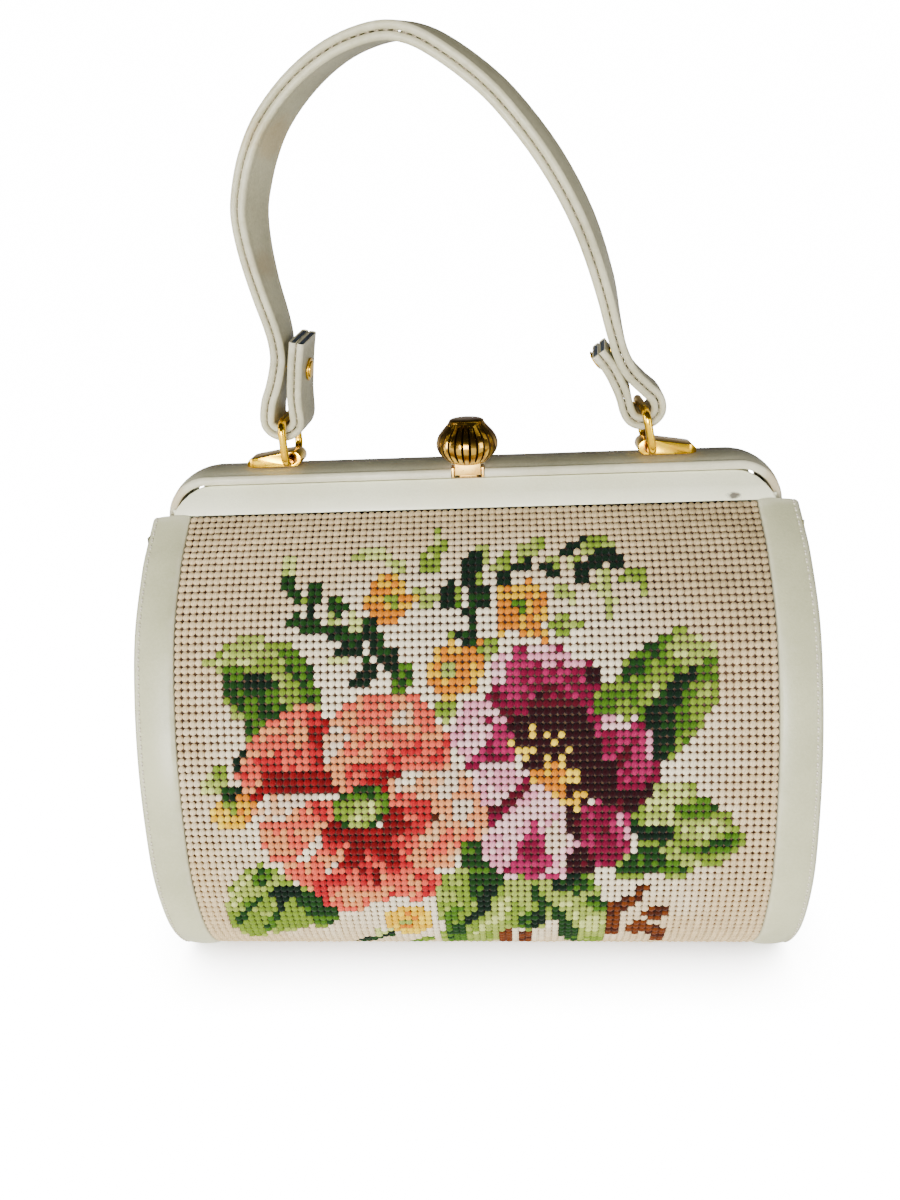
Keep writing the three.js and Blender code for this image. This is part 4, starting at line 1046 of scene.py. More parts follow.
# %% The chart: small flowers, sprigs and leaves
LEAVES = """
sage lime | 25,7.3 26.8,6 29,5.6 30.3,6.5 30.8,8 31.5,8 32.8,8.5 33.3,10 32.5,10.5 31,10.3 30.5,8.8
    29.5,8.3 27.5,8.5
olive lime | 34.8,9 35,7.3 36.5,6 36.6,4 37.5,3.2 38.7,5 38.8,7 38,8 38.8,9.2 37,10 35.5,9.7
sage sage | 33.5,12 35,12.3 37,12.8 38,12.3 38,14 37,15 35.5,14.5 34,13.5
lime sage | 15.2,9.8 15.5,7.5 17,7 17.2,9 16.3,9.9
sage olive | 18,13.5 18.8,12.3 19.2,14.5 18.3,14.5
lime sage | 21.6,17 22.6,15.3 24.2,16.2 23,17.2
lime sage | 25,15.3 26.6,15.8 26.6,18 25.2,17.6
lime lime | 22.3,21.6 24.6,20.4 25,21.8
forest forest | 15,12.3 15,10.1 16.2,9.8 17,11.5 18,12.3 18.5,13.8 17.2,13.8 16.5,12.6
forest pine | 18.8,11 21.1,10.8 21.1,13.5 20,14.8 20.3,16 18.8,15.8 19,14 18.7,12.5
forest forest | 16.2,17 17.2,15.1 19,15.8 20.5,16.3 22,16.6 21.5,18 19,17.9 17,17.3
forest leaf | 22,13 23.3,12.6 24.6,14 24.4,15.7 23,15.7 22,14.3
forest pine | 21.8,18.4 22.5,17 24,17.2 25,15.9 25.3,18 26.5,18.2 27,20 28.2,21.5 27,21.7 25,20.9
    23.1,20.7 24.3,19.5 23.3,18.8
pine forest | 27.1,16 28.3,15.1 28.9,17.3 30.1,18.5 30.1,20.4 31.5,20.4 32.4,21.8 31.3,23.4 30,22.9
    28.8,21.4 28.1,19.4 27,18.5
pine pine | 25.1,24 26.3,22.7 28,22.1 30,22.7 28.8,24.1 27,24.9 25.3,24.9
forest leaf | 31.1,24 31.9,21.7 33.6,21.7 34.5,23.8 33.1,25.7 31,25.9
sage olive | 43,6.8 45,5.3 44.6,8 44.4,10.5 43.5,11.7 43,10.5
pine pine | 40.6,10.9 40.8,9.2 42,7.8 43,6.8 43.9,6.9 43.9,9 43.1,10.6 42,11.6 40.8,11.6
leaf olive | 40,11.8 41.2,13 41.2,14.8 40.2,15.2
pine pine | 37.9,13.5 38.6,11.9 40,11 40.4,13 40.4,14.6 39,15.5 37.9,15
pine forest | 40.8,16 41.9,14.3 42.5,12.8 42.4,11.4 43.5,11.8 45.1,11.8 45.4,14 44.1,14.9 42.8,15.1
    41.8,16.5
leaf olive | 39.1,19 40,17.8 40.6,19.3 39.5,20
pine forest | 40,18.6 41,17.5 41.9,17.7 42.2,16.2 43.4,15.6 43.3,18 42.4,19.7 40.8,19.7
sage olive | 45.4,9.7 45.9,8 47.6,7.2 47.8,9.5 46.5,10.1
pine pine | 45.7,12.2 45.7,11 46.9,10.1 47.9,10.1 47.5,11.8 46.5,12.4
olive sage | 48.8,8.7 49.4,6.4 51,5.3 53.2,5 53.2,7.1 51.5,7.9 50,8.9
sage olive | 53,9 53.4,7.5 55,7.8 55.2,9.5 54,10
lime sage | 55.7,8.6 57.3,7.9 57.7,9.6 56.4,10
olive sage | 57.4,8.6 58,6.8 59.5,5.1 62.2,5.1 62.6,6.6 61,7.2 59.5,8.2
pine pine | 47.9,9.8 49.5,8.7 51.4,8.1 51.4,9.4 50,10 48.4,10.2
pine pine | 51.4,9.8 53,9.1 54.2,8.9 54,10.2 52,10.5
pine pine | 53.2,11.1 53.4,10.1 55.5,9.9 55.4,11.1 54,11.5
pine pine | 54.9,7.5 55.9,6.3 57.5,5.7 58.5,4.9 59.4,4.9 58.6,6.4 57,7.5 56,7.9
pine pine | 57,12.1 57.1,9.8 58.4,8.7 60,8.2 60.4,7.2 63.1,7.2 64.2,8.8 64,10 62.7,9.9 61.5,8.7 60.3,9.7
    59,10.2 58.4,12.4
sage lime | 59.2,12 60.4,10.1 62.1,10.4 62.4,13 62.6,15 61.5,16.7 60.7,14.2 59.9,13.2
olive sage | 63.2,11.3 64.4,10 66.6,10.2 67.2,13 66.6,14 65.5,12.2 64,12.5
lime sage | 53.7,11.8 55,11.9 57,13 56.7,15 55.2,14.2 53.9,13
sage olive | 52.9,17 54.4,16.1 57,16.6 57.9,17.3 56,18.5 54,18.7
sage olive | 43.4,20.6 44.8,18.5 46.4,18.7 45.6,20.6 44.5,21.7
sage olive | 37.2,27 39.9,26.7 39.6,28.5 39.1,30.1 37.7,30.1 37.4,28.5
olive sage | 3.2,38.6 3.6,36 5.5,35.2 7.1,35.5 7.4,38.1 5.5,39.2 4,39.2
lime sage | 3.2,38.6 3.6,36 5,35.8 5,38.9
pine pine | 7.1,36 8,34.9 10,32.9 11,32.1 10.5,33.9 8.7,35.5 7.9,36.5
pine forest | 5.6,40 6.4,38.3 8,37.6 9.4,37.6 9.7,38.9 8.3,40.1 7,40.5
olive sage | 4.4,21.5 6.5,19.6 9,18.6 11,17.9 13.5,18.5 15.5,19.1 17.6,19.9 19.1,21.4 20.3,23 20.4,25
    21.3,26 21.1,28.1 20,27.2 17,27.4 15.5,29.1 13.5,30.1 12,30.6 11,32.1 10,31.6 10.1,29.6 8.4,28.6
    7.6,27 6.9,25 6.4,23 5.4,22.2
sage lime | 5,21.4 9,19.2 13,19.4 15,20.6 12,21.6 10,22.1 7,21.9
lime lime | 8.5,20.9 11.5,20.9 11.2,22.3 9.6,21.9
leaf forest | 15.3,19.9 18,20.4 20.1,23 20.4,25 21.1,27.6 18.5,26.6 17.5,24 16,22
forest leaf | 9,22.3 12,22.8 14.6,23.9 14.6,25.6 16.1,27.6 14.5,29.1 12,29.6 11.1,31.7 10.1,31.2 10.1,29
    8.4,27 6.9,24.6 7.4,22.2
pine pine | 9.9,22.7 12,22.9 14.4,24 14.4,25.5 11.5,25.2 9.9,24.4
olive leaf | 58.7,27 60,25.4 61.5,24.9 62.5,23.9 63.2,22.4 65,20.9 67,19.9 69,19.2 70.5,18.2 72.6,18.6
    74,19.4 76.1,19.9 76.1,22 74,22.6 72,23.4 70.5,24.6 68.5,26.1 66.6,28.1 65.6,29.8 63,29.7 61.4,28.8
    59.4,28.6
sage lime | 69.8,19 73,18.9 75.9,20.2 75.6,21.9 72.5,23.1 70,22.1 69,20.5
forest leaf | 62.6,24.1 65,20.9 68.1,19.9 67.6,21.6 65,24.1 63,25.2
leaf forest | 58.7,27.4 61,25.7 62.6,26.5 62.1,28.6 59.4,28.5
lime sage | 66.3,26.6 67.6,25.2 68.6,25.8 67.4,27
leaf olive | 65.6,29.6 67,27.4 69,25.4 71,23.9 73,22.7 75.9,22.2 76.1,24.5 75.9,27 74.6,29.1 73.6,30.6
    72.1,32.1 70.6,33.6 69.1,35.1 68,35.7 67.2,34.1 66.7,32.1 66.6,30.5
olive sage | 73.4,25.4 75.9,24.9 75.6,27.6 73.5,29.6 71.9,28.5
pine forest | 65.6,29.6 67.2,27.2 70,24.7 73,22.8 73.4,24.2 71.1,26.4 69.7,29 70.1,32.1 69.1,35.1
    68,35.7 66.9,33.6 66.7,31
olive sage | 64.2,42.3 65.4,40.9 66.2,40.1 67.4,38.4 69.5,37.6 72.6,37.6 72.7,39.4 75,40.2 76.1,41.4
    77.6,42.4 78.4,44 79.9,45.5 80.1,46.6 79.1,47.8 77.6,49.1 75.5,50 73,50.4 72.1,51.6 70,51.8 68,50.6
    66,51.6 62.4,51.6 61.4,50 62.9,48.7 65,47.4 65.2,46 63.9,44.3 63.6,42.9
lime sage | 66,40.9 68,38.9 70,38.2 72.4,38.2 72.4,40 70,41.6 69.6,43.6 67.5,44.4 65.4,43.4
sage lime | 69.9,42.9 76,42.5 78.1,44 76,45.6 71,45.6
leaf forest | 70.2,41.2 73,40.5 75.4,40.4 75.7,41.9 74,42.8 71,43
pine forest | 63.9,42.9 66,44.2 69.8,44.4 70.2,46.1 68.5,46.9 66.5,45.8 64.4,45.2
leaf forest | 70.9,46.9 74,46.9 76,45.9 79,45.1 79.5,46.9 77,48.1 74.5,48.5 71.4,48.4
forest leaf | 61.9,50.1 65,47.2 67,46.9 69.5,48.4 71.6,50 72.1,51.5 69,50.9 66,51.5 62.4,51.5
sage lime | 68.4,47.4 70.5,47.6 71.5,48.9 74,49.2 73,50.2 70.4,49.4
olive sage | 3.9,61 3.9,58 4.9,55 5.9,52.4 8,50.4 10,49.4 12.6,49.9 13.4,51.2 14.1,51.9 16.1,53.2
    17.6,53.7 18.6,54.9 19.6,56.4 21.1,57.2 21.1,58.6 20.4,60.1 18,62 16.7,61.1 15.7,62.1 13,62.9
    10.5,63.6 9.2,63.1 8.3,65.1 6.4,64.9 5.4,63.4
lime sage | 4.9,55.1 6.4,52.2 9,50.1 9.6,52 8,54.1 6,56.6 4.8,58.6
leaf forest | 10.2,50.4 12.6,50.2 12.1,51.6 9.5,53.4 8.9,52.3
forest leaf | 8,55.7 10,55.1 8.6,57.1 7,59.1 5.8,61.3 4.7,61.6 4.9,60 6.3,58
forest leaf | 11.9,57.4 12.8,57.7 11.6,60.1 10.1,62.9 9.2,62.9 9.7,60.5
forest leaf | 15.2,54.4 17.6,53.8 19.1,56.4 21.1,57.4 20.9,59.1 19.9,60.4 17.8,61.7 17,59.6 16,57.6
    14.9,56.1
pine pine | 11.1,54.6 13.5,52.6 15.6,53.4 15.7,54.9 13.6,55.9 12.7,57.9 11.9,57.6 12.2,55.4
sage olive | 36,58 35.6,56 36.2,54 37.4,51.4 40,49.9 39.9,47.4 40.4,45.9 42.1,45.6 42.8,47 43.4,48.7
    45.1,49.9 46.1,51.2 47,51.6 49,51.4 50,52.1 53,51.9 55,50.9 58.1,50.9 59.4,51.9 59.6,54 60.1,55.4
    61.1,56.9 60.9,60 61.1,63 61.1,68 57.5,68 55,67 54.4,63.5 53.6,60.5 53,58.4 52.6,61.6 51,62.4
    49,62.6 47.4,61.9 46,64.1 44,68 36.5,68 36.4,64 36.9,61
forest leaf | 40,50 39.9,47.4 40.4,45.9 42.6,46.2 43.4,48.9 45.1,50.1 46.3,51.5 45.1,53.6 43.6,56.1
    42,57.1 40.9,55 41.4,52 40.9,50.5
olive sage | 35.9,57 36.4,54 38.4,51.4 40.5,50.7 40.9,54 39.6,56.1 37.6,58.1 36.4,60.1
leaf olive | 36.7,58.6 38.4,56.9 40.6,56.9 40.1,60 38.6,62.1 36.9,61.6
forest leaf | 36.6,63 39,59.9 40.6,60.9 39.6,64 40.1,68 37.4,68
pine pine | 42.9,54 45.2,51.9 44.6,55.1 43.4,58.1 41.6,60.4 40,61.7 40.5,59.5 42,57
lime sage | 43.9,59 45.4,56 46.1,52.4 48.6,51.9 48.1,55.1 46.6,58.1 45.1,60.6 42.6,63.6 40.9,64.2
    42.4,61
sage olive | 47.4,53 49.6,52.4 50.1,55.1 48.6,58.1 46.6,61.1 45.9,62.1
forest leaf | 47.9,60 49.5,58.4 50.1,60.1 49.1,62.4 47.5,61.8
pine forest | 49.9,52.2 50.7,53 51.1,55 52.6,56.4 52.4,58.6 51.6,61.1 50,62.4 49.2,61.4 50.2,58.5
    50.9,56.8 49.9,55
pine forest | 52.4,53.1 55,50.9 57.1,50.9 56.6,53.1 55,54.1 53,54.2
leaf forest | 56.9,51.1 59.3,51.9 59.4,54.1 57,54.6 55.4,54.4
sage lime | 53.4,55 56.6,55.4 58.6,58 60.9,60 60.6,65.1 58,63.1 56,60.1 54.4,57.6
leaf forest | 57.4,54.9 60,55.4 61.1,57.4 59.8,58.7 58.2,57.1
forest leaf | 53.2,56.9 54.6,58.4 56.1,60.9 57.1,63.9 57.6,68 55,67 54.2,63 53.4,60
cream cream | 52.6,58.6 53.3,58.6 53.5,62 52.4,62
pine forest | 21.8,68 25,64.9 28,63.4 29.7,63.2 28.1,65.1 25,67.1 24,69
olive leaf | 30.8,68 34,64.9 35.2,66 32,69
brown umber | 44.9,63 46.6,62.4 46.7,69 44.9,69
brown umber | 48,63 49.6,63 50.1,69 48.2,69
brown umber | 64.2,55 65.7,52.7 66.7,52.6 66.6,54.1 65.4,55.9 63.8,57.6 61.2,58.2 61.4,56.4 63,55.2
brown umber | 65.9,58.6 67.4,57.1 69.6,56.7 70.3,58.5 69.1,60 66.9,59.9
brown umber | 60.9,58 62.4,57.7 62.9,60 62.4,62 62.9,64 61.4,63.7 60.9,61
brown brown | 63.7,61 65.5,60.2 67.1,60.9 66.6,63.1 65,63.9 63.9,62.8
brown umber | 66.4,60.4 69,61.4 70.7,63.3 69.8,64.1 70.2,66.7 68.4,67.1 67.9,64.6 67.1,62.6
gold yellow | 28.2,12 28.4,10.9 30,10.1 32.1,10.1 33.1,11.2 33.1,12.4 34.6,13.4 34.4,15.1 33.1,15.6
    32.1,17 29,17 27.9,15.6 27,14.9 27.4,13.2
olive sage | 30.2,12.7 32.1,12.9 32.2,14.4 30.8,14.7
gold yellow | 45.9,13 47,11.9 48,11.7 50.6,11.4 52.6,12.7 53.1,14 53.1,16.4 52.1,17.3 52.4,18.3
    53.2,19.4 51.8,19.7 51,18.6 49,19 48,17.6 45.9,19 45.7,17 46.7,16 46.1,14.8
olive leaf | 48.4,13.8 50.1,13.9 50.2,15.6 48.6,15.7
yellow gold | 35.9,23 37,22 37.2,20.4 39,19.4 41,19.7 43.6,19.4 43.4,21 44.4,22 43.6,23.1 43.4,25.1
    42.1,26.1 40,26.1 39.9,26.9 37.9,27 37.2,25.1 35.9,24.1
gold gold | 37.7,22 38.4,20.8 41,20.6 42.2,22.1 41.6,24.4 38.9,24.9 37.8,23.6
sage olive | 38.1,21.6 40.1,21.7 40.1,23.8 38.2,23.7
gold yellow | 3.5,42.7 4.9,41.4 5.1,40.2 7,39.9 8.5,39.1 10.1,39.5 10.8,41 10.1,42.3 9.1,43.6 7.9,44.2
    5.4,43.7 4.4,43.1
yellow straw | 3.5,42.7 5.1,40.4 7,40.6 7.6,43.1 5.5,43.6
sage olive | 6.2,39.9 8.1,40.4 8.3,41.6 7.3,42.1
lime cream | 25.2,64.1 27,61.2 28.6,62.5 26.5,65.2
yellow straw | 27.7,60 28.2,58.4 29.5,57.9 30.5,56.9 33.1,56.6 33.9,58.2 35.1,58.6 35.6,60.3 34.6,61.9
    33.6,63.1 31.5,64 29,63 28.1,61.6
gold yellow | 29.4,60.6 30.2,58.6 32.4,58.4 33.4,60.2 32.4,62.4 30.2,62.4
olive sage | 30.4,60.2 32,60 32,61.4 30.6,61.6
"""

# %% The chart: the coral flower
CORAL = """
coral peach | 8.1,36.3 9.1,34.6 10.9,31.9 12.9,29.7 15.3,28.7 16.2,27.6 19.8,26.9 21.3,28.4 22.1,29.7
    21.1,31.4 20.8,35.3 21.8,36.7 22.9,38.3 20.8,39.4 18.7,38.8 13.3,38.8 12,39.8 9.9,39.8 9.1,38.4
rose red | 19.3,27.9 21.4,28.4 22.1,30 21.1,31.4 20.8,35.4 18.9,35.1 18.5,31
rose coral | 11.9,34 16,32.9 19.1,32.9 20.6,35.4 21.6,37 17,37.4 12,36.7 9.4,37.1 8.9,35.5
crimson red | 12.2,35.9 15,36.4 19.5,35.9 21.6,36.4 22.9,38.3 21,39.4 18.5,38.7 13,38.7 12,39.7 9.9,39.7
    11.4,38 12.1,37
peach coral | 21,35.4 21.1,31.4 22.4,29.4 23.4,27.6 25,26.6 28,26.2 31,25.9 34.1,25.7 35.1,26.9
    36.6,28.4 37.1,29.9 38.9,31.9 38.8,34.1 37.9,36.4 35,36.4 33,35.9 31,36.1 30,37.9 29,38.7 25,39
    22.9,38.4 21.9,37 21.2,36
coral peach | 24,27.4 28,26.3 31,26 31.2,28.4 29.4,30.4 25.6,30.1
coral peach | 25.5,31 30,30.4 34,31 36,30 37,31.4 34,33 29,34.4 26,35
pale sand | 20.9,35.3 21,31.4 22.5,29.9 24.1,29.9 24.6,31.5 23.1,33.1 22.1,35.1
pale sand | 30.9,28.4 33.5,27.3 34.7,29 33.1,30.1 31.2,29.9
rose coral | 29.9,33 34,31.9 38.7,32.4 38.6,34.6 37.6,36.4 34,36.1 31.5,35.8 30,37.1 27,38.4 24,38.6
    24,36 27,34.9
crimson red | 27.9,37 31,35.6 32.7,35.6 30.6,37.6 29.4,38.7 26.4,38.7 26.9,37.8
peach sand | 29.9,38 31.4,36.7 33,35.9 35,36.1 37.8,36.2 39,34.9 40.1,35.1 41.6,36.7 42.6,38.4 43.8,40.9
    44.1,44.1 42.6,45.6 40.6,46.1 39.6,48.1 39.1,49.6 36,50.1 34,50.1 32,49.1 30.9,47.6 29.9,45.6
    28.9,44.6 28.7,43 29.7,41.5 29.8,39.5
pale cream | 29.9,38.3 31.4,36.7 33,35.8 35.1,36.7 34,38.1 31.5,38.7
pale sand | 36.7,36.4 40,35.1 40.4,38 39,40.1 37,40.4 36.4,38.5
pale peach | 39.4,39.9 43.6,40.9 43.9,43.1 41,43.6 38.9,42.6
rose coral | 31.9,38.9 35.6,39.9 36.1,43.1 35.1,45.1 31.4,45.1 29.9,42.6 30.1,40
rose coral | 29.9,45 33,44.4 35.1,46 33,47.6 30.9,47.6
coral peach | 34.6,46.4 37,45.6 38.6,44.4 42.1,44.4 42.4,45.7 39.5,46.7 37.4,48.4 35,48.6
crimson red | 29.4,41.4 31.6,41.4 33.6,44 31,45.1 28.9,44.4 28.4,43
umber umber | 35.9,42 37,42 37,43 35.9,43
rose coral | 22,47 20.9,50 19,50.9 17.3,51.8 18.1,54.1 18.9,56.6 21,57.4 22.5,58.1 25,57.4 26.6,56.1
    28,55.9 29.6,54.9 31,54.6 32,55.6 35.1,55.4 36.6,52.6 36.4,50.2 34,49.9 32,48.9 30.6,45.9 29,44.4
    25.5,44.2 23,43.4 22.4,45.5
coral peach | 19.9,54 23,53.2 25,53.9 28.6,54.4 28,55.9 26,56.1 25,57.6 22.5,58.2 21.2,57.4 19.9,56.8
peach coral | 28.4,51 31,50.4 33.6,51.9 34.6,54.1 34,55.4 32,55.1 30,54.4 27.9,53.6
sand peach | 22.6,55 24.6,54.8 25,56.4 23,57
crimson red | 21.4,43 23.5,43.9 26,44.4 28.9,43.9 30.1,45.9 31.3,48.4 31.6,50.1 29,50.1 28,48.6 27,47.1
    26,46.6 25.4,49.1 25.6,51.1 24.5,50.1 22.4,50.1 21.9,48.5 22.9,46.5 21.9,46
crimson red | 26.4,50.6 28.2,50.2 28.2,52.6 27,52.6
coral rose | 26.3,47.4 27.4,47.4 28.2,50 27,50.1
peach coral | 10.2,41.5 12,40.2 14,39.2 18.5,38.9 20.6,39.6 21.7,40.1 21.6,42.6 20.9,43.6 20.6,45.1
    18.6,46.4 18.1,48.1 16.6,48.6 15,49.8 13,49.1 11.7,47.6 10.5,45.6 11.2,43.5
pale sand | 10.4,41.6 14,39.2 18.6,38.9 20.1,39.8 16,41.1 14,43.1 11.4,43.1
coral peach | 12.4,43 16,43.4 17.1,46 15,48.6 12.4,47.6 11.4,45.3
coral rose | 18.9,40 21.6,40.4 21.5,42.6 19.7,42.6
coral peach | 20.5,44.9 21.5,43.9 22.8,45.4 23.6,46.4 22.6,48.6 21.6,50.1 19.5,51.1 18.5,52.1 17.5,53.6
    15.4,52.1 13.9,51.1 13.7,49.9 16,49.2 18,47.9 19.3,46.4
pale cream | 17.4,47 19.5,45.4 20.7,44.9 19.1,47.1 17.1,48.9 15.4,49.7
sand pale | 19.9,50 22.4,48.2 21.4,50.4 19.4,51.5
rose coral | 20.5,45 22.9,45.2 23.2,46.9 21,48 19.6,47.4
crimson red | 20.2,44.6 21.4,42.7 23.1,43.1 24.1,44.5 23.6,46.4 22.3,46.1 20.9,45.6
leaf forest | 21.6,41.5 23,39.9 24,38.7 26,38.2 28.6,38.4 29.9,39.9 29.9,41.6 28.9,42.9 28.1,44.1
    26,44.5 23.7,44.1 22.4,42.9
olive sage | 22.1,41.5 23.5,40.2 26,39.9 28.6,40.1 29,41.5 28.1,43.1 26,43.9 23.8,43.4
lime sage | 24.8,40.6 28.1,40.4 28.4,42 27,43.3 25,43
"""

# %% The chart: the magenta flower
MAGENTA = """
pink blush | 38.9,33 39.4,30 39.9,28 42,26.7 44.5,26.5 46.1,28.2 47.1,29.9 48.1,31.4 48.1,33.6 48.6,35.4
    41.2,35.6 40.6,34.2
orchid magenta | 44.2,29.4 46,29.9 47.9,30.9 48.1,33.6 48.6,35.4 44,35.5 40.9,35.7 41.4,34.6 43,33.2
    44.9,32.2 44.9,31
magenta orchid | 43,34 46.4,33.2 48.4,34.6 48.6,35.4 42,35.6
magenta orchid | 46.9,20.6 50.7,20.2 55.8,20.6 56.8,21.9 59,22.5 59.9,22.6 59.9,25.8 59.1,26.9 58.9,28.6
    57,29.6 50,31.1 47.4,30.6 46.9,29.6 45.9,28.4 44.9,27.4 44.1,26.7 44.9,25.2 45.2,23 45.6,21.6
orchid magenta | 47.4,21.4 50,20.9 51,22.2 55,22.6 57.6,23.4 58.1,25.1 55,25.1 50,24.1 48,25.1
pink blush | 45.2,24.9 45.4,21.9 46.9,20.6 48.6,20.5 48.1,21.9 47,22.1 47.6,24.1 46.4,25.2
pink blush | 50.4,20.3 55.8,20.6 56.8,21.9 57.9,22.8 57,23.4 55.5,22.6 54.5,22.1 53.5,23.1 52,22.3
    50.4,22.1
wine magenta | 44.4,26.4 46.6,26.4 48.6,28.9 48.6,30.6 47,30.1 45.9,28.1
magenta wine | 51.4,24.6 53.4,25 55,27 57,27.4 56,28.6 53,28 51,26.6
maroon maroon | 57.4,23 59.9,22.5 59.9,25.6 58.5,24.6
maroon wine | 49.9,27.4 51.4,26.4 53.1,27.9 55,28.9 56,27.9 58.1,28.4 59.1,29.5 57,31.1 53,31.6 49,32.1
    46.9,30.6 47.9,29.5 49.9,29.2
magenta orchid | 58.9,28.7 60.5,28.7 62,29.6 63,29.9 64.6,29.6 66.1,30.9 67.1,32.9 67.4,35 68,37
    67.1,39.4 65.9,40.1 65.1,41.6 62,41.6 59.9,40.6 60.4,38 59.9,35 58.4,32.1 56.4,30.6 57.9,29.5
orchid magenta | 56.9,30.4 60,30.2 62.6,31.4 62.6,33.6 60,34.1 57.9,32.6
orchid magenta | 63.9,34.4 66.6,34.9 67.1,37.1 65.5,38.1 63.4,37.1
pink blush | 58.9,28.7 60.9,28.7 62.4,29.7 64.9,29.4 64.6,30.1 62.8,31.1 61.2,31.3 59.9,29.9
pink orchid | 64.9,30.2 66.4,31.1 67.3,33.4 67.4,35.6 66.4,34.6 65.7,32.1
maroon wine | 58.4,33 61,35.2 63.6,33.4 64.2,34 62.1,36.6 61.6,38.6 60.4,38.1
maroon wine | 59.9,39.9 62,39.4 65,39.2 68,37.2 66.6,39.9 65.1,41.6 62,41.7 59.9,41.1
maroon maroon | 47.7,30 50,28.9 53,27.9 57,28.4 58.6,29.9 59.6,32 60.6,35 61.1,38 62.1,40.6 63.6,41.6
    60,40.6 58,40.4 56.6,42.1 56.1,44.1 56.6,47.1 58.6,48.1 59.1,50.6 55.4,50.6 55.2,48 55.4,45 54.7,42
    53.9,40 51.9,38.1 48.9,35.4 47.9,33
magenta orchid | 57.4,40.8 60,40.4 61.6,41.4 63.6,41.9 64.4,44.5 64.5,46.1 63.6,47.9 62.6,48.8 61.6,49.6
    59,49.9 58.9,50.9 55.3,50.6 55.4,47.8 55.9,45.5 56.4,44 56.9,42.5
pink orchid | 61.6,42.6 63.7,42.1 64.5,44.6 64.5,46.4 63,46.2 61.7,45.1
wine magenta | 58.9,41.9 61,42.9 60.6,46.1 59.2,47.1
maroon wine | 55.4,42 57,42.4 57.4,44.6 57.1,46.1 58.6,47.6 59.1,49.4 58.9,50.9 55.3,50.6 55.4,48
    56.4,46.5 55.4,44
blush pink | 41.7,36 44,35.1 48,35.1 49.6,36.4 50.1,37.3 48,38.6 47.6,40.6 45.1,42.6 43.5,44.1 43.7,41.5
    42.9,40 42.4,38.5 41.9,37.2
blush pink | 48.9,38.6 50.5,37.9 52.6,38.7 53.6,39.9 54.6,41.4 55.1,43.4 55.6,45 56.6,45.7 56.4,47.6
    55.4,48.6 55.4,51.1 54,52.1 51,52.4 49,51.4 46.5,51.6 45.4,50.4 43.9,49.4 42.9,48.1 42.6,46.5
    43.6,44.7 45.5,42.9 47.4,40.9
pink blush | 42.9,46.4 45,44.9 47.1,46 46.1,48.6 44.4,49.3
pale blush | 51.4,44 53.6,43.4 55.2,46 55,49.6 53,49.4 52.2,46.6
magenta wine | 47.9,38.2 50,37.1 51,37.6 49.1,39.3 47.6,41.3 45.5,43.1 43.9,44.4 43.6,42 45.5,40.9
    47.2,40
pink orchid | 49.2,43.4 51.2,43.4 52.4,46 52.6,50 50,51 47.4,50.4 48.4,46
magenta orchid | 50.2,44.4 51.6,45.9 51.8,49.1 52.1,51.1 49.5,51.4 47,51.1 46.4,50.6 47.9,48.6 48.6,46.5
orchid pink | 46.2,51.3 49,50.9 52,50.9 54.6,50.9 53.9,52.1 51,52.4 49,51.5
gold yellow | 48.7,35.1 50,35.9 52,35.7 53.5,34.7 55.1,35.4 56.6,35.9 57.7,36.8 56.1,38.1 55.1,38.6
    54.4,40.1 53,39.6 51.4,38.4 49.9,37.1
yellow straw | 54.2,39.6 56,39.9 57.4,38.5 58.8,38.9 57.6,40.4 56,40.7 55.4,41.6 54.4,40.9
yellow straw | 54.4,35.4 56.6,35.8 57.7,36.8 56,38 54.6,37
"""
STAMENS = [(50, 30), (50, 31), (52, 31), (54, 31), (53, 32), (47, 32), (48, 33), (49, 33), (50, 33),
           (49, 34), (52, 34), (55, 33), (54, 34), (56, 41)]


# %% Reading the chart
def within(corners, column, row):
    """Which stitches have their middle inside an outline."""
    x, y = column + 0.5, row + 0.5
    inside = np.zeros(len(x), bool)
    for (x1, y1), (x2, y2) in zip(corners, corners[1:] + corners[:1]):
        crosses = (y1 > y) != (y2 > y)
        inside ^= crosses & (x < (x2 - x1) * (y - y1) / (y2 - y1 if y2 != y1 else 1) + x1)
    return inside


def patches(chart):
    """The patches of a chart: two wools, and the corners."""
    for line in chart.replace("\n    ", " ").strip().splitlines():
        wools, corners = line.split("|")
        yield wools.split(), [tuple(float(v) for v in corner.split(",")) for corner in corners.split()]


def mottle(column, row, seed):
    """A soft noise over the stitches, from 0 to 1, with patches a few stitches wide."""
    grid = np.random.default_rng(seed).random((120, 120))
    x, y = column / 3.1 + 5, row / 2.3 + 5
    i, j = x.astype(int), y.astype(int)
    u, v = x - i, y - j
    u, v = u * u * (3 - 2 * u), v * v * (3 - 2 * v)
    low = grid[j, i] * (1 - u) + grid[j, i + 1] * u
    high = grid[j + 1, i] * (1 - u) + grid[j + 1, i + 1] * u
    return low * (1 - v) + high * v


def ground(column, row):
    """The background wool: cream round the bouquet and tan towards the edges. It is darker in the top right
    corner, and in the top rows, where the darkening is a painted shade under the frame.
    """
    reach = np.hypot((column - 40) / 37, (row - 38) / 31)
    tan = np.clip((reach - 0.72) / 0.42 + (mottle(column, row, 3) - 0.5) * 0.5, 0, 1)
    top_darkening = np.clip((column - 58) / 26, 0, 1) * np.clip((26 - row) / 14, 0, 1)
    # Painted shade: the top rows are darkened, for the shade under the frame.
    top_darkening = np.clip(top_darkening + np.clip((6 - row) / 6, 0, 1) * 0.55, 0, 1) * (0.35 + 0.4 * mottle(column, row, 5))
    colour = WOOL["cream"] * (1 - tan[:, None]) + WOOL["tan"] * tan[:, None]
    return colour * (1 - top_darkening[:, None]) + WOOL["shade"] * top_darkening[:, None]


SECOND_WOOL = 0.56  # a patch takes its second wool where the mottling is over this


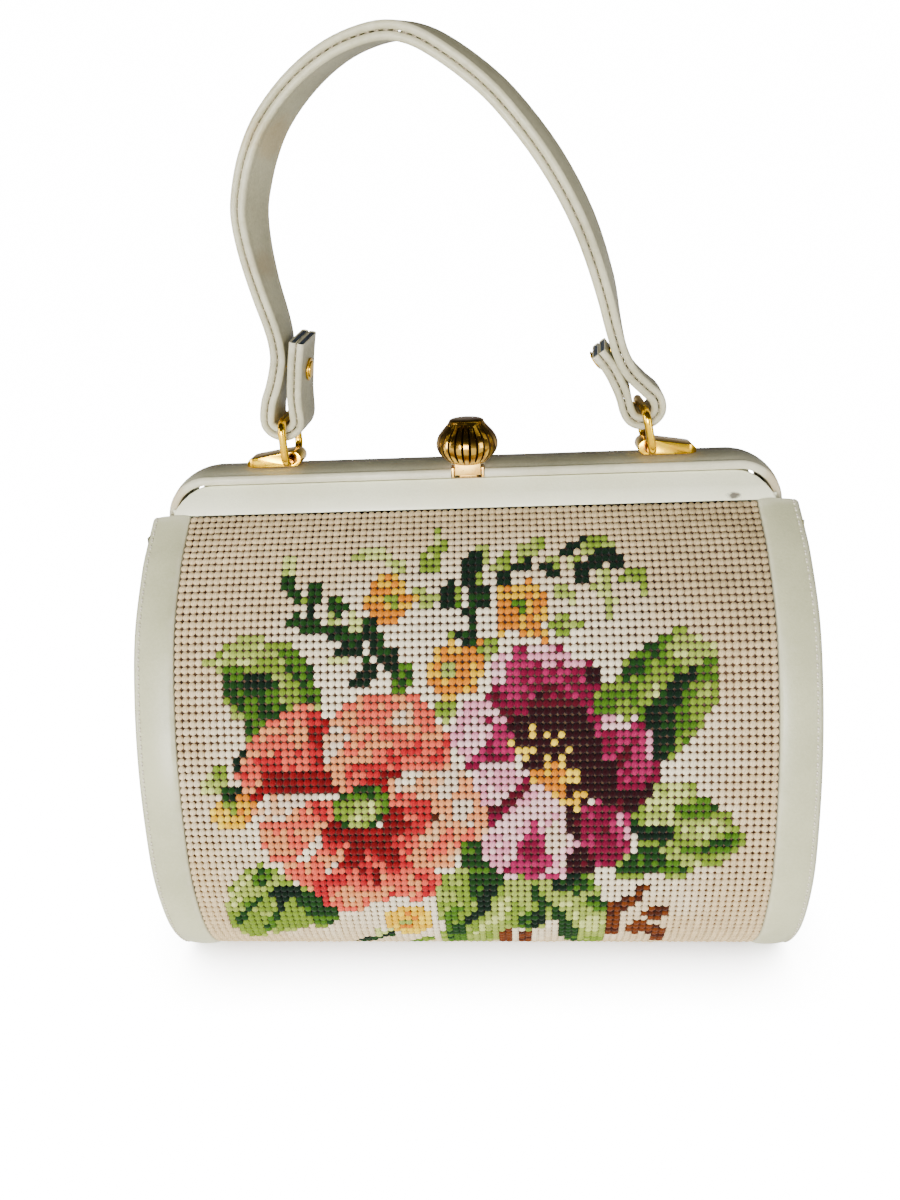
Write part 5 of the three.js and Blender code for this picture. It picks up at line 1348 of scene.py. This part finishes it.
def stitch_colours(column, row, flowers=True):
    """The colour of each stitch, which varies a little, as dyed wool does."""
    colours = ground(column, row)
    speck = np.random.default_rng(11).random(len(column))
    if flowers:
        blend = mottle(column * 1.6, row * 1.3, 8) * 0.55 + speck * 0.45
        for chart in (LEAVES, CORAL, MAGENTA):
            for (main, other), corners in patches(chart):
                inside = within(corners, column, row)
                colours[inside] = WOOL[main]
                colours[inside & (blend > SECOND_WOOL)] = WOOL[other]
        for c, r in STAMENS:
            colours[(column == c) & (row == r)] = WOOL["straw"]
    shade = 1 + np.random.default_rng(13).normal(0, 0.045, (len(column), 1))
    return np.clip(colours * shade, 0, 1)


def paint(piece, colours):
    """Gives each copied stitch its colour, on all its points."""
    size = len(piece.data.vertices) // len(colours)
    rgba = np.concatenate([np.repeat(colours, size, axis=0), np.ones((len(colours) * size, 1))], axis=1)
    layer = piece.data.color_attributes.new("wool", "FLOAT_COLOR", "POINT")
    layer.data.foreach_set("color", rgba.astype(np.float32).ravel())


paint(wool_front, stitch_colours(front_columns, front_rows))
paint(wool_base, stitch_colours(base_columns, base_rows - 60, False))
paint(wool_rear, stitch_colours(rear_columns, ROWS - 1 - rear_rows, False))
print("charted", sum(len(list(patches(chart))) for chart in (LEAVES, CORAL, MAGENTA)), "patches")

# %% [markdown]
# ## Shared effects
# Smooth leather has fine pores and soft wrinkles, and colour that varies a little from place to place.
# Edges that hands rub go paler, and hollows keep dirt. Pointiness tells an edge from a hollow.

# %% Group: leather grain
grain, given, result = group("leather_grain",
                             [("Pore size", "Float", 0.0006), ("Wrinkle size", "Float", 0.012)],
                             [("Height", "Float"), ("Mottle", "Float")])
place = object_place(grain)
pores = put(grain, "TexVoronoi", {"Vector": place, "Scale": calc(grain, "DIVIDE", 1.0, given["Pore size"])},
            feature="F1").outputs["Distance"]
fine = noise(grain, place, calc(grain, "DIVIDE", 0.6, given["Pore size"]), 4.0)
wrinkles = noise(grain, place, calc(grain, "DIVIDE", 1.0, given["Wrinkle size"]), 5.0, 0.6)
height = calc(grain, "ADD", calc(grain, "MULTIPLY", pores, 0.35), calc(grain, "MULTIPLY", fine, 0.4))
grain.links.new(calc(grain, "ADD", height, calc(grain, "MULTIPLY", wrinkles, 1.6)), result["Height"])
mottle_low = noise(grain, place, calc(grain, "DIVIDE", 0.35, given["Wrinkle size"]), 3.0)
mottled = calc(grain, "ADD", calc(grain, "MULTIPLY", mottle_low, 0.7), calc(grain, "MULTIPLY", fine, 0.3))
grain.links.new(mottled, result["Mottle"])

# %% Group: worn edges and dirty hollows
wear, given, result = group("wear", [("Edge", "Float", 0.55), ("Hollow", "Float", 0.47),
                                     ("Break up", "Float", 0.004)],
                            [("Edges", "Float"), ("Hollows", "Float")])
point = put(wear, "NewGeometry").outputs["Pointiness"]
patchy = noise(wear, object_place(wear), calc(wear, "DIVIDE", 1.0, given["Break up"]), 4.0)
uneven = calc(wear, "MULTIPLY_ADD", calc(wear, "SUBTRACT", patchy, 0.5), 0.06, point)
edges = span(wear, uneven, calc(wear, "SUBTRACT", given["Edge"], 0.04), given["Edge"])
hollows = span(wear, uneven, given["Hollow"], calc(wear, "SUBTRACT", given["Hollow"], 0.04))
wear.links.new(edges, result["Edges"])
wear.links.new(hollows, result["Hollows"])

# %% Group: a soft spot
spot, given, result = group("spot", [("Centre", "Vector", None), ("Stretch", "Vector", None),
                                     ("Ragged", "Float", 0.3)], [("Mask", "Float")])
place = object_place(spot)
away = put(spot, "VectorMath", {0: place, 1: given["Centre"]}, operation="SUBTRACT").outputs[0]
shares = put(spot, "VectorMath", {0: away, 1: given["Stretch"]}, operation="DIVIDE").outputs[0]
reach = put(spot, "VectorMath", {0: shares}, operation="LENGTH").outputs["Value"]
ragged = calc(spot, "MULTIPLY", calc(spot, "SUBTRACT", noise(spot, place, 700.0, 4.0), 0.5), given["Ragged"])
spot.links.new(span(spot, calc(spot, "ADD", reach, ragged), 1.0, 0.4), result["Mask"])

# %% Group: twisted yarn
# The ply attribute holds each copy's own coordinates in millimetres, so strands follow every stitch.
yarn, given, result = group("yarn", [("Twist", "Float", 2.2), ("Strands", "Float", 5.0),
                                     ("Thickness", "Float", 1.1)],
                            [("Height", "Float"), ("Depth", "Float"), ("Fluff", "Float")])
ply = put(yarn, "Attribute", attribute_name="ply").outputs["Vector"]
sides = put(yarn, "SeparateXYZ", {0: ply}).outputs
turned = calc(yarn, "MULTIPLY", sides["X"], given["Strands"])
turned = calc(yarn, "MULTIPLY_ADD", sides["Y"], given["Twist"], turned)
strands = calc(yarn, "MULTIPLY_ADD", calc(yarn, "SINE", turned), 0.5, 0.5)
fluff = noise(yarn, object_place(yarn), 2400.0, 3.0, 0.7)
yarn.links.new(calc(yarn, "MULTIPLY_ADD", fluff, 0.9, strands), result["Height"])
yarn.links.new(calc(yarn, "DIVIDE", sides["Z"], given["Thickness"], clamp=True), result["Depth"])
yarn.links.new(fluff, result["Fluff"])
print("groups:", [tree.name for tree in bpy.data.node_groups])


# %% [markdown]
# ## Bone leather
# The leather was white once. It has gone to a greenish bone, and brown in the hollows. Each leather piece
# takes the same material at a painted brightness of its own, lit and shaded copies of one leather with the
# half frames' much the lightest, and marks of its own: the stains under the handle's arch and where it
# bends, the yellowed corners of the lip, and the little tear on the front half frame.

# %% Leather
def finish_of(name, roughness, metallic=0.0, **sockets):
    """A new material. Values that are the same all over are set on the shader itself."""
    material = bpy.data.materials.new(name)
    material.use_nodes = True
    shader = material.node_tree.nodes["Principled BSDF"]
    shader.inputs["Roughness"].default_value = roughness
    shader.inputs["Metallic"].default_value = metallic
    for key, value in sockets.items():
        shader.inputs[key.replace("_", " ")].default_value = value
    return material, material.node_tree, shader.inputs


def bone_leather(name, light, dark, gloss=0.4, marks=()):
    """marks are (centre, stretch, colour, strength, raggedness), in millimetres."""
    material, tree, into = finish_of(name, gloss, Specular_IOR_Level=0.45)
    leather = use(tree, grain)
    worn = use(tree, wear)
    base = mix(tree, span(tree, leather["Mottle"], 0.35, 0.68), colour_of(light), colour_of(dark))
    base = mix(tree, calc(tree, "MULTIPLY", worn["Hollows"], 0.55), base, colour_of((122, 104, 74)))
    base = mix(tree, calc(tree, "MULTIPLY", worn["Edges"], 0.25), base, colour_of((226, 220, 200)))
    for centre, stretch, colour, strength, raggedness in marks:
        mask = use(tree, spot, Centre=tuple(v * MM for v in centre), Stretch=tuple(v * MM for v in stretch),
                   Ragged=raggedness)["Mask"]
        base = mix(tree, calc(tree, "MULTIPLY", mask, strength), base, colour_of(colour))
    tree.links.new(base, into["Base Color"])
    tree.links.new(span(tree, leather["Mottle"], 0.3, 0.75, gloss - 0.05, gloss + 0.12), into["Roughness"])
    tree.links.new(bump(tree, leather["Height"], 0.35, 0.00025), into["Normal"])
    return material


def station_near(place):
    """The handle's middle at a share of its route, in millimetres."""
    return stations[int(place * (len(stations) - 1))][0]


apex, bend = station_near(0.45), station_near(0.36)
# Lit and shaded copies of one leather: the half frames' leather is painted much lighter than that of the
# bands, end plates, lip and handle.
bone = bone_leather("bone_leather", (236, 236, 204), (222, 221, 186), 0.34,
                    [((97, -17, 174), (3.4, 8, 1.5), (58, 48, 40), 0.9, 0.9)])
band_bone = bone_leather("band_leather", (184, 183, 146), (166, 165, 130), 0.34)
lip_bone = bone_leather("lip_leather", (188, 184, 154), (164, 160, 130), 0.4,
                        [((-112, -12, 178), (6, 6, 8), (176, 150, 104), 0.5, 0.8),
                         ((113, -12, 178), (6, 6, 8), (170, 146, 104), 0.55, 0.8)])
handle_bone = bone_leather("handle_leather", (180, 175, 142), (150, 145, 114), 0.42,
                           [(tuple(apex), (30, 14, 9), (168, 146, 96), 0.5, 0.7),
                            (tuple(bend), (9, 14, 7), (150, 128, 88), 0.45, 0.9)])
print("leathers:", bone.name, lip_bone.name, handle_bone.name)

# %% The cut core of the straps
# At each cut end the strap shows its dark blue core.
core, tree, into = finish_of("strap_core", 0.7)
threads = noise(tree, object_place(tree), 1800.0, 3.0)
tree.links.new(mix(tree, span(tree, threads, 0.4, 0.65), colour_of((24, 34, 48)), colour_of((74, 84, 96))),
               into["Base Color"])
tree.links.new(bump(tree, threads, 0.6, 0.0003), into["Normal"])

# %% [markdown]
# ## Wool
# The colour of each stitch comes from its place in the chart. The group of twisted yarn adds the strands
# and the fluff. Each tuft is painted darker where it dives into the canvas and between its strands, a
# painted shade. Wool scatters light at a low angle, which the shader's sheen gives.

# %% Wool
wool, tree, into = finish_of("wool", 0.95, Specular_IOR_Level=0.08, Sheen_Weight=0.04, Sheen_Roughness=0.6)
charted = put(tree, "Attribute", attribute_name="wool").outputs["Color"]
spun = use(tree, yarn, Twist=2.6, Strands=6.5, Thickness=1.1)
# Painted shade: each tuft is darkened towards the canvas, where it dives in.
shaded = mix(tree, span(tree, spun["Depth"], 0.62, -0.1), charted, colour_of((120, 88, 60)), "MULTIPLY")
fluffy = mix(tree, 0.5, shaded, colour_of((255, 250, 240)), "SOFT_LIGHT")
shaded = mix(tree, span(tree, spun["Fluff"], 0.35, 0.7), shaded, fluffy)
# Painted shade: the grooves between the twisted strands are darkened.
strand_groove_shade = span(tree, spun["Height"], 0.9, 0.2, 0.0, 0.35)
shaded = mix(tree, strand_groove_shade, shaded, colour_of((120, 100, 84)), "MULTIPLY")
tree.links.new(shaded, into["Base Color"])
tree.links.new(bump(tree, spun["Height"], 0.5, 0.00018), into["Normal"])

# %% The canvas under the wool
ground_cloth, tree, into = finish_of("canvas_cloth", 1.0)
weave = put(tree, "TexWave", {"Vector": object_place(tree), "Scale": 120.0, "Distortion": 2.0},
            bands_direction="X").outputs["Fac"]
# Painted shade: the canvas is coloured dark brown, for the shade in the gaps between the stitches.
tree.links.new(mix(tree, weave, colour_of((52, 36, 24)), colour_of((84, 62, 42))), into["Base Color"])
tree.links.new(bump(tree, weave, 0.5, 0.0003), into["Normal"])


# %% [markdown]
# ## Sewing thread
# Waxed linen, off white on the bands. Each thread is painted darker in the grooves between its strands, a
# painted shade, and the thread in the handle's groove is painted darker all over, for the shade in that
# groove.

# %% Thread
def linen(name, light, dark):
    material, tree, into = finish_of(name, 0.75)
    spun = use(tree, yarn, Twist=4.5, Strands=3.0, Thickness=0.5)
    # Painted shade: the thread goes from its light colour on the strands to the dark one in the grooves
    # between them.
    tree.links.new(mix(tree, span(tree, spun["Height"], 0.3, 1.2), colour_of(dark), colour_of(light)),
                   into["Base Color"])
    tree.links.new(bump(tree, spun["Height"], 0.5, 0.0001), into["Normal"])
    return material


band_linen = linen("band_thread", (214, 208, 188), (150, 140, 116))
# Painted shade: the handle's thread is darker than the bands', for the shade in the groove between the
# straps.
shaded_handle_linen = linen("handle_thread", (150, 138, 112), (84, 74, 58))


# %% [markdown]
# ## Brass
# Polished brass keeps dark tarnish in its grooves and small pits where the plating has gone. Fine
# smudges change the roughness, because a perfectly even mirror looks like plastic. The lever's brass is
# satin, and the hidden pins are plain steel.

# %% Brass and steel
def old_brass(name, light, dark, gloss, hollow):
    material, tree, into = finish_of(name, gloss, 1.0)
    place = object_place(tree)
    worn = use(tree, wear, Hollow=hollow, Break_up=0.002)
    smudge = noise(tree, place, 260.0, 5.0, 0.65)
    pits = span(tree, noise(tree, place, 1500.0, 2.0), 0.66, 0.72)
    dull = calc(tree, "MAXIMUM", worn["Hollows"], calc(tree, "MULTIPLY", pits, 0.7))
    base = mix(tree, span(tree, smudge, 0.4, 0.66), colour_of(light), colour_of(dark))
    tree.links.new(mix(tree, dull, base, colour_of((28, 20, 10))), into["Base Color"])
    rough = span(tree, smudge, 0.35, 0.7, gloss, gloss + 0.14)
    tree.links.new(calc(tree, "MULTIPLY_ADD", dull, 0.3, rough), into["Roughness"])
    tree.links.new(bump(tree, smudge, 0.12, 0.0002), into["Normal"])
    return material


polished = old_brass("polished_brass", (255, 206, 26), (240, 180, 16), 0.12, 0.44)
ball_brass = old_brass("ball_brass", (216, 172, 70), (156, 110, 38), 0.1, 0.485)
groove_black = old_brass("groove_tarnish", (46, 32, 14), (16, 11, 6), 0.45, 0.44)
satin = old_brass("satin_brass", (232, 190, 104), (214, 164, 82), 0.34, 0.44)
plain_steel, tree, into = finish_of("pin_steel", 0.42, 1.0)
scratches = noise(tree, object_place(tree), 900.0, 3.0)
steel_colour = mix(tree, scratches, colour_of((120, 120, 116)), colour_of((168, 168, 164)))
tree.links.new(steel_colour, into["Base Color"])
print("metals:", polished.name, ball_brass.name, satin.name, plain_steel.name)

# %% [markdown]
# ## Dressing the pieces
# Each piece gets its material.

# %% Give each piece its material
# The floor is white paper that glows, so the camera sees it as bright as the backdrop, while the rest of
# the scene gets only a faint glow from it. Where the bag touches it the glow is dimmed, a painted contact
# shadow.
paper, tree, into = finish_of("white_paper", 0.9, Emission_Strength=16.0)
tree.links.new(mix(tree, noise(tree, object_place(tree), 3.0), colour_of((246, 246, 246)),
                   colour_of((250, 250, 250))), into["Base Color"])
seen = put(tree, "LightPath").outputs["Is Camera Ray"]
shade = put(tree, "AmbientOcclusion", {"Distance": 0.035}, samples=8).outputs["AO"]
# Painted shadow: ambient occlusion dims the glow where the bag is near the floor.
open_floor = span(tree, shade, 0.1, 0.95, 0.02, 1.0)
glow = calc(tree, "MULTIPLY_ADD", calc(tree, "MULTIPLY", seen, open_floor), 0.96, 0.035)
tree.links.new(put(tree, "CombineColor", {"Red": glow, "Green": glow, "Blue": glow}).outputs["Color"],
               into["Emission Color"])


def dress(pieces, *materials, slot=None):
    """Gives pieces their materials. Faces keep the number of the material that they were given."""
    for piece in pieces:
        numbers = [face.material_index for face in piece.data.polygons]
        piece.data.materials.clear()
        for material in materials:
            piece.data.materials.append(material)
        piece.data.polygons.foreach_set("material_index", numbers)


dress([wool_front, wool_base, wool_rear], wool, slot="wool")
dress([canvas], ground_cloth, slot="wool")
dress(half_frames, bone, slot="leather")
dress(bands + plates, band_bone, slot="leather")
dress([top_cover], lip_bone, slot="leather")
dress(straps, handle_bone, core, slot="leather")
dress(band_sewing, band_linen, slot="leather")
dress(strap_sewing, shaded_handle_linen, slot="leather")
dress([ball], ball_brass, groove_black, slot="brass")
dress([lever, tongue, housing], satin, slot="brass")
dress(brackets + rings + rivets, polished, slot="brass")
dress(pins, plain_steel, slot="steel")
dress([floor], paper)

# %% [markdown]
# ## Everything on its body
# The clasp's ball, lever and tongue turn together. All the rest rides on the bag.

# %% Ride, replace and finish
covered = [(wool_front, "needlepoint_panel"), (wool_base, "needlepoint_panel"),
           (wool_rear, "needlepoint_panel"), (canvas, "needlepoint_panel"), (top_cover, "top_frame"),
           (half_frames[0], "front_frame"), (half_frames[1], "rear_frame"), (housing, "clasp_housing"),
           (straps[0], "handle_outer_strap"), (straps[1], "handle_inner_strap")]
for node, pair in (("side_band", bands), ("end_gusset", plates), ("handle_bracket", brackets),
                   ("handle_ring", rings), ("handle_rivet", rivets), ("hinge_pin", pins)):
    covered += [(piece, f"{node}_{side}") for piece, side in zip(pair, SIDES.values())]
for piece, node in covered:
    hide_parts(node)
    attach(piece, "bag")
for piece in (ball, lever, tongue):
    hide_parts("clasp_knob")
    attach(piece, "clasp")
for piece in band_sewing + strap_sewing:
    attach(piece, "bag")

def corners(box):
    return [[float(v) for v in corner] for corner in box]
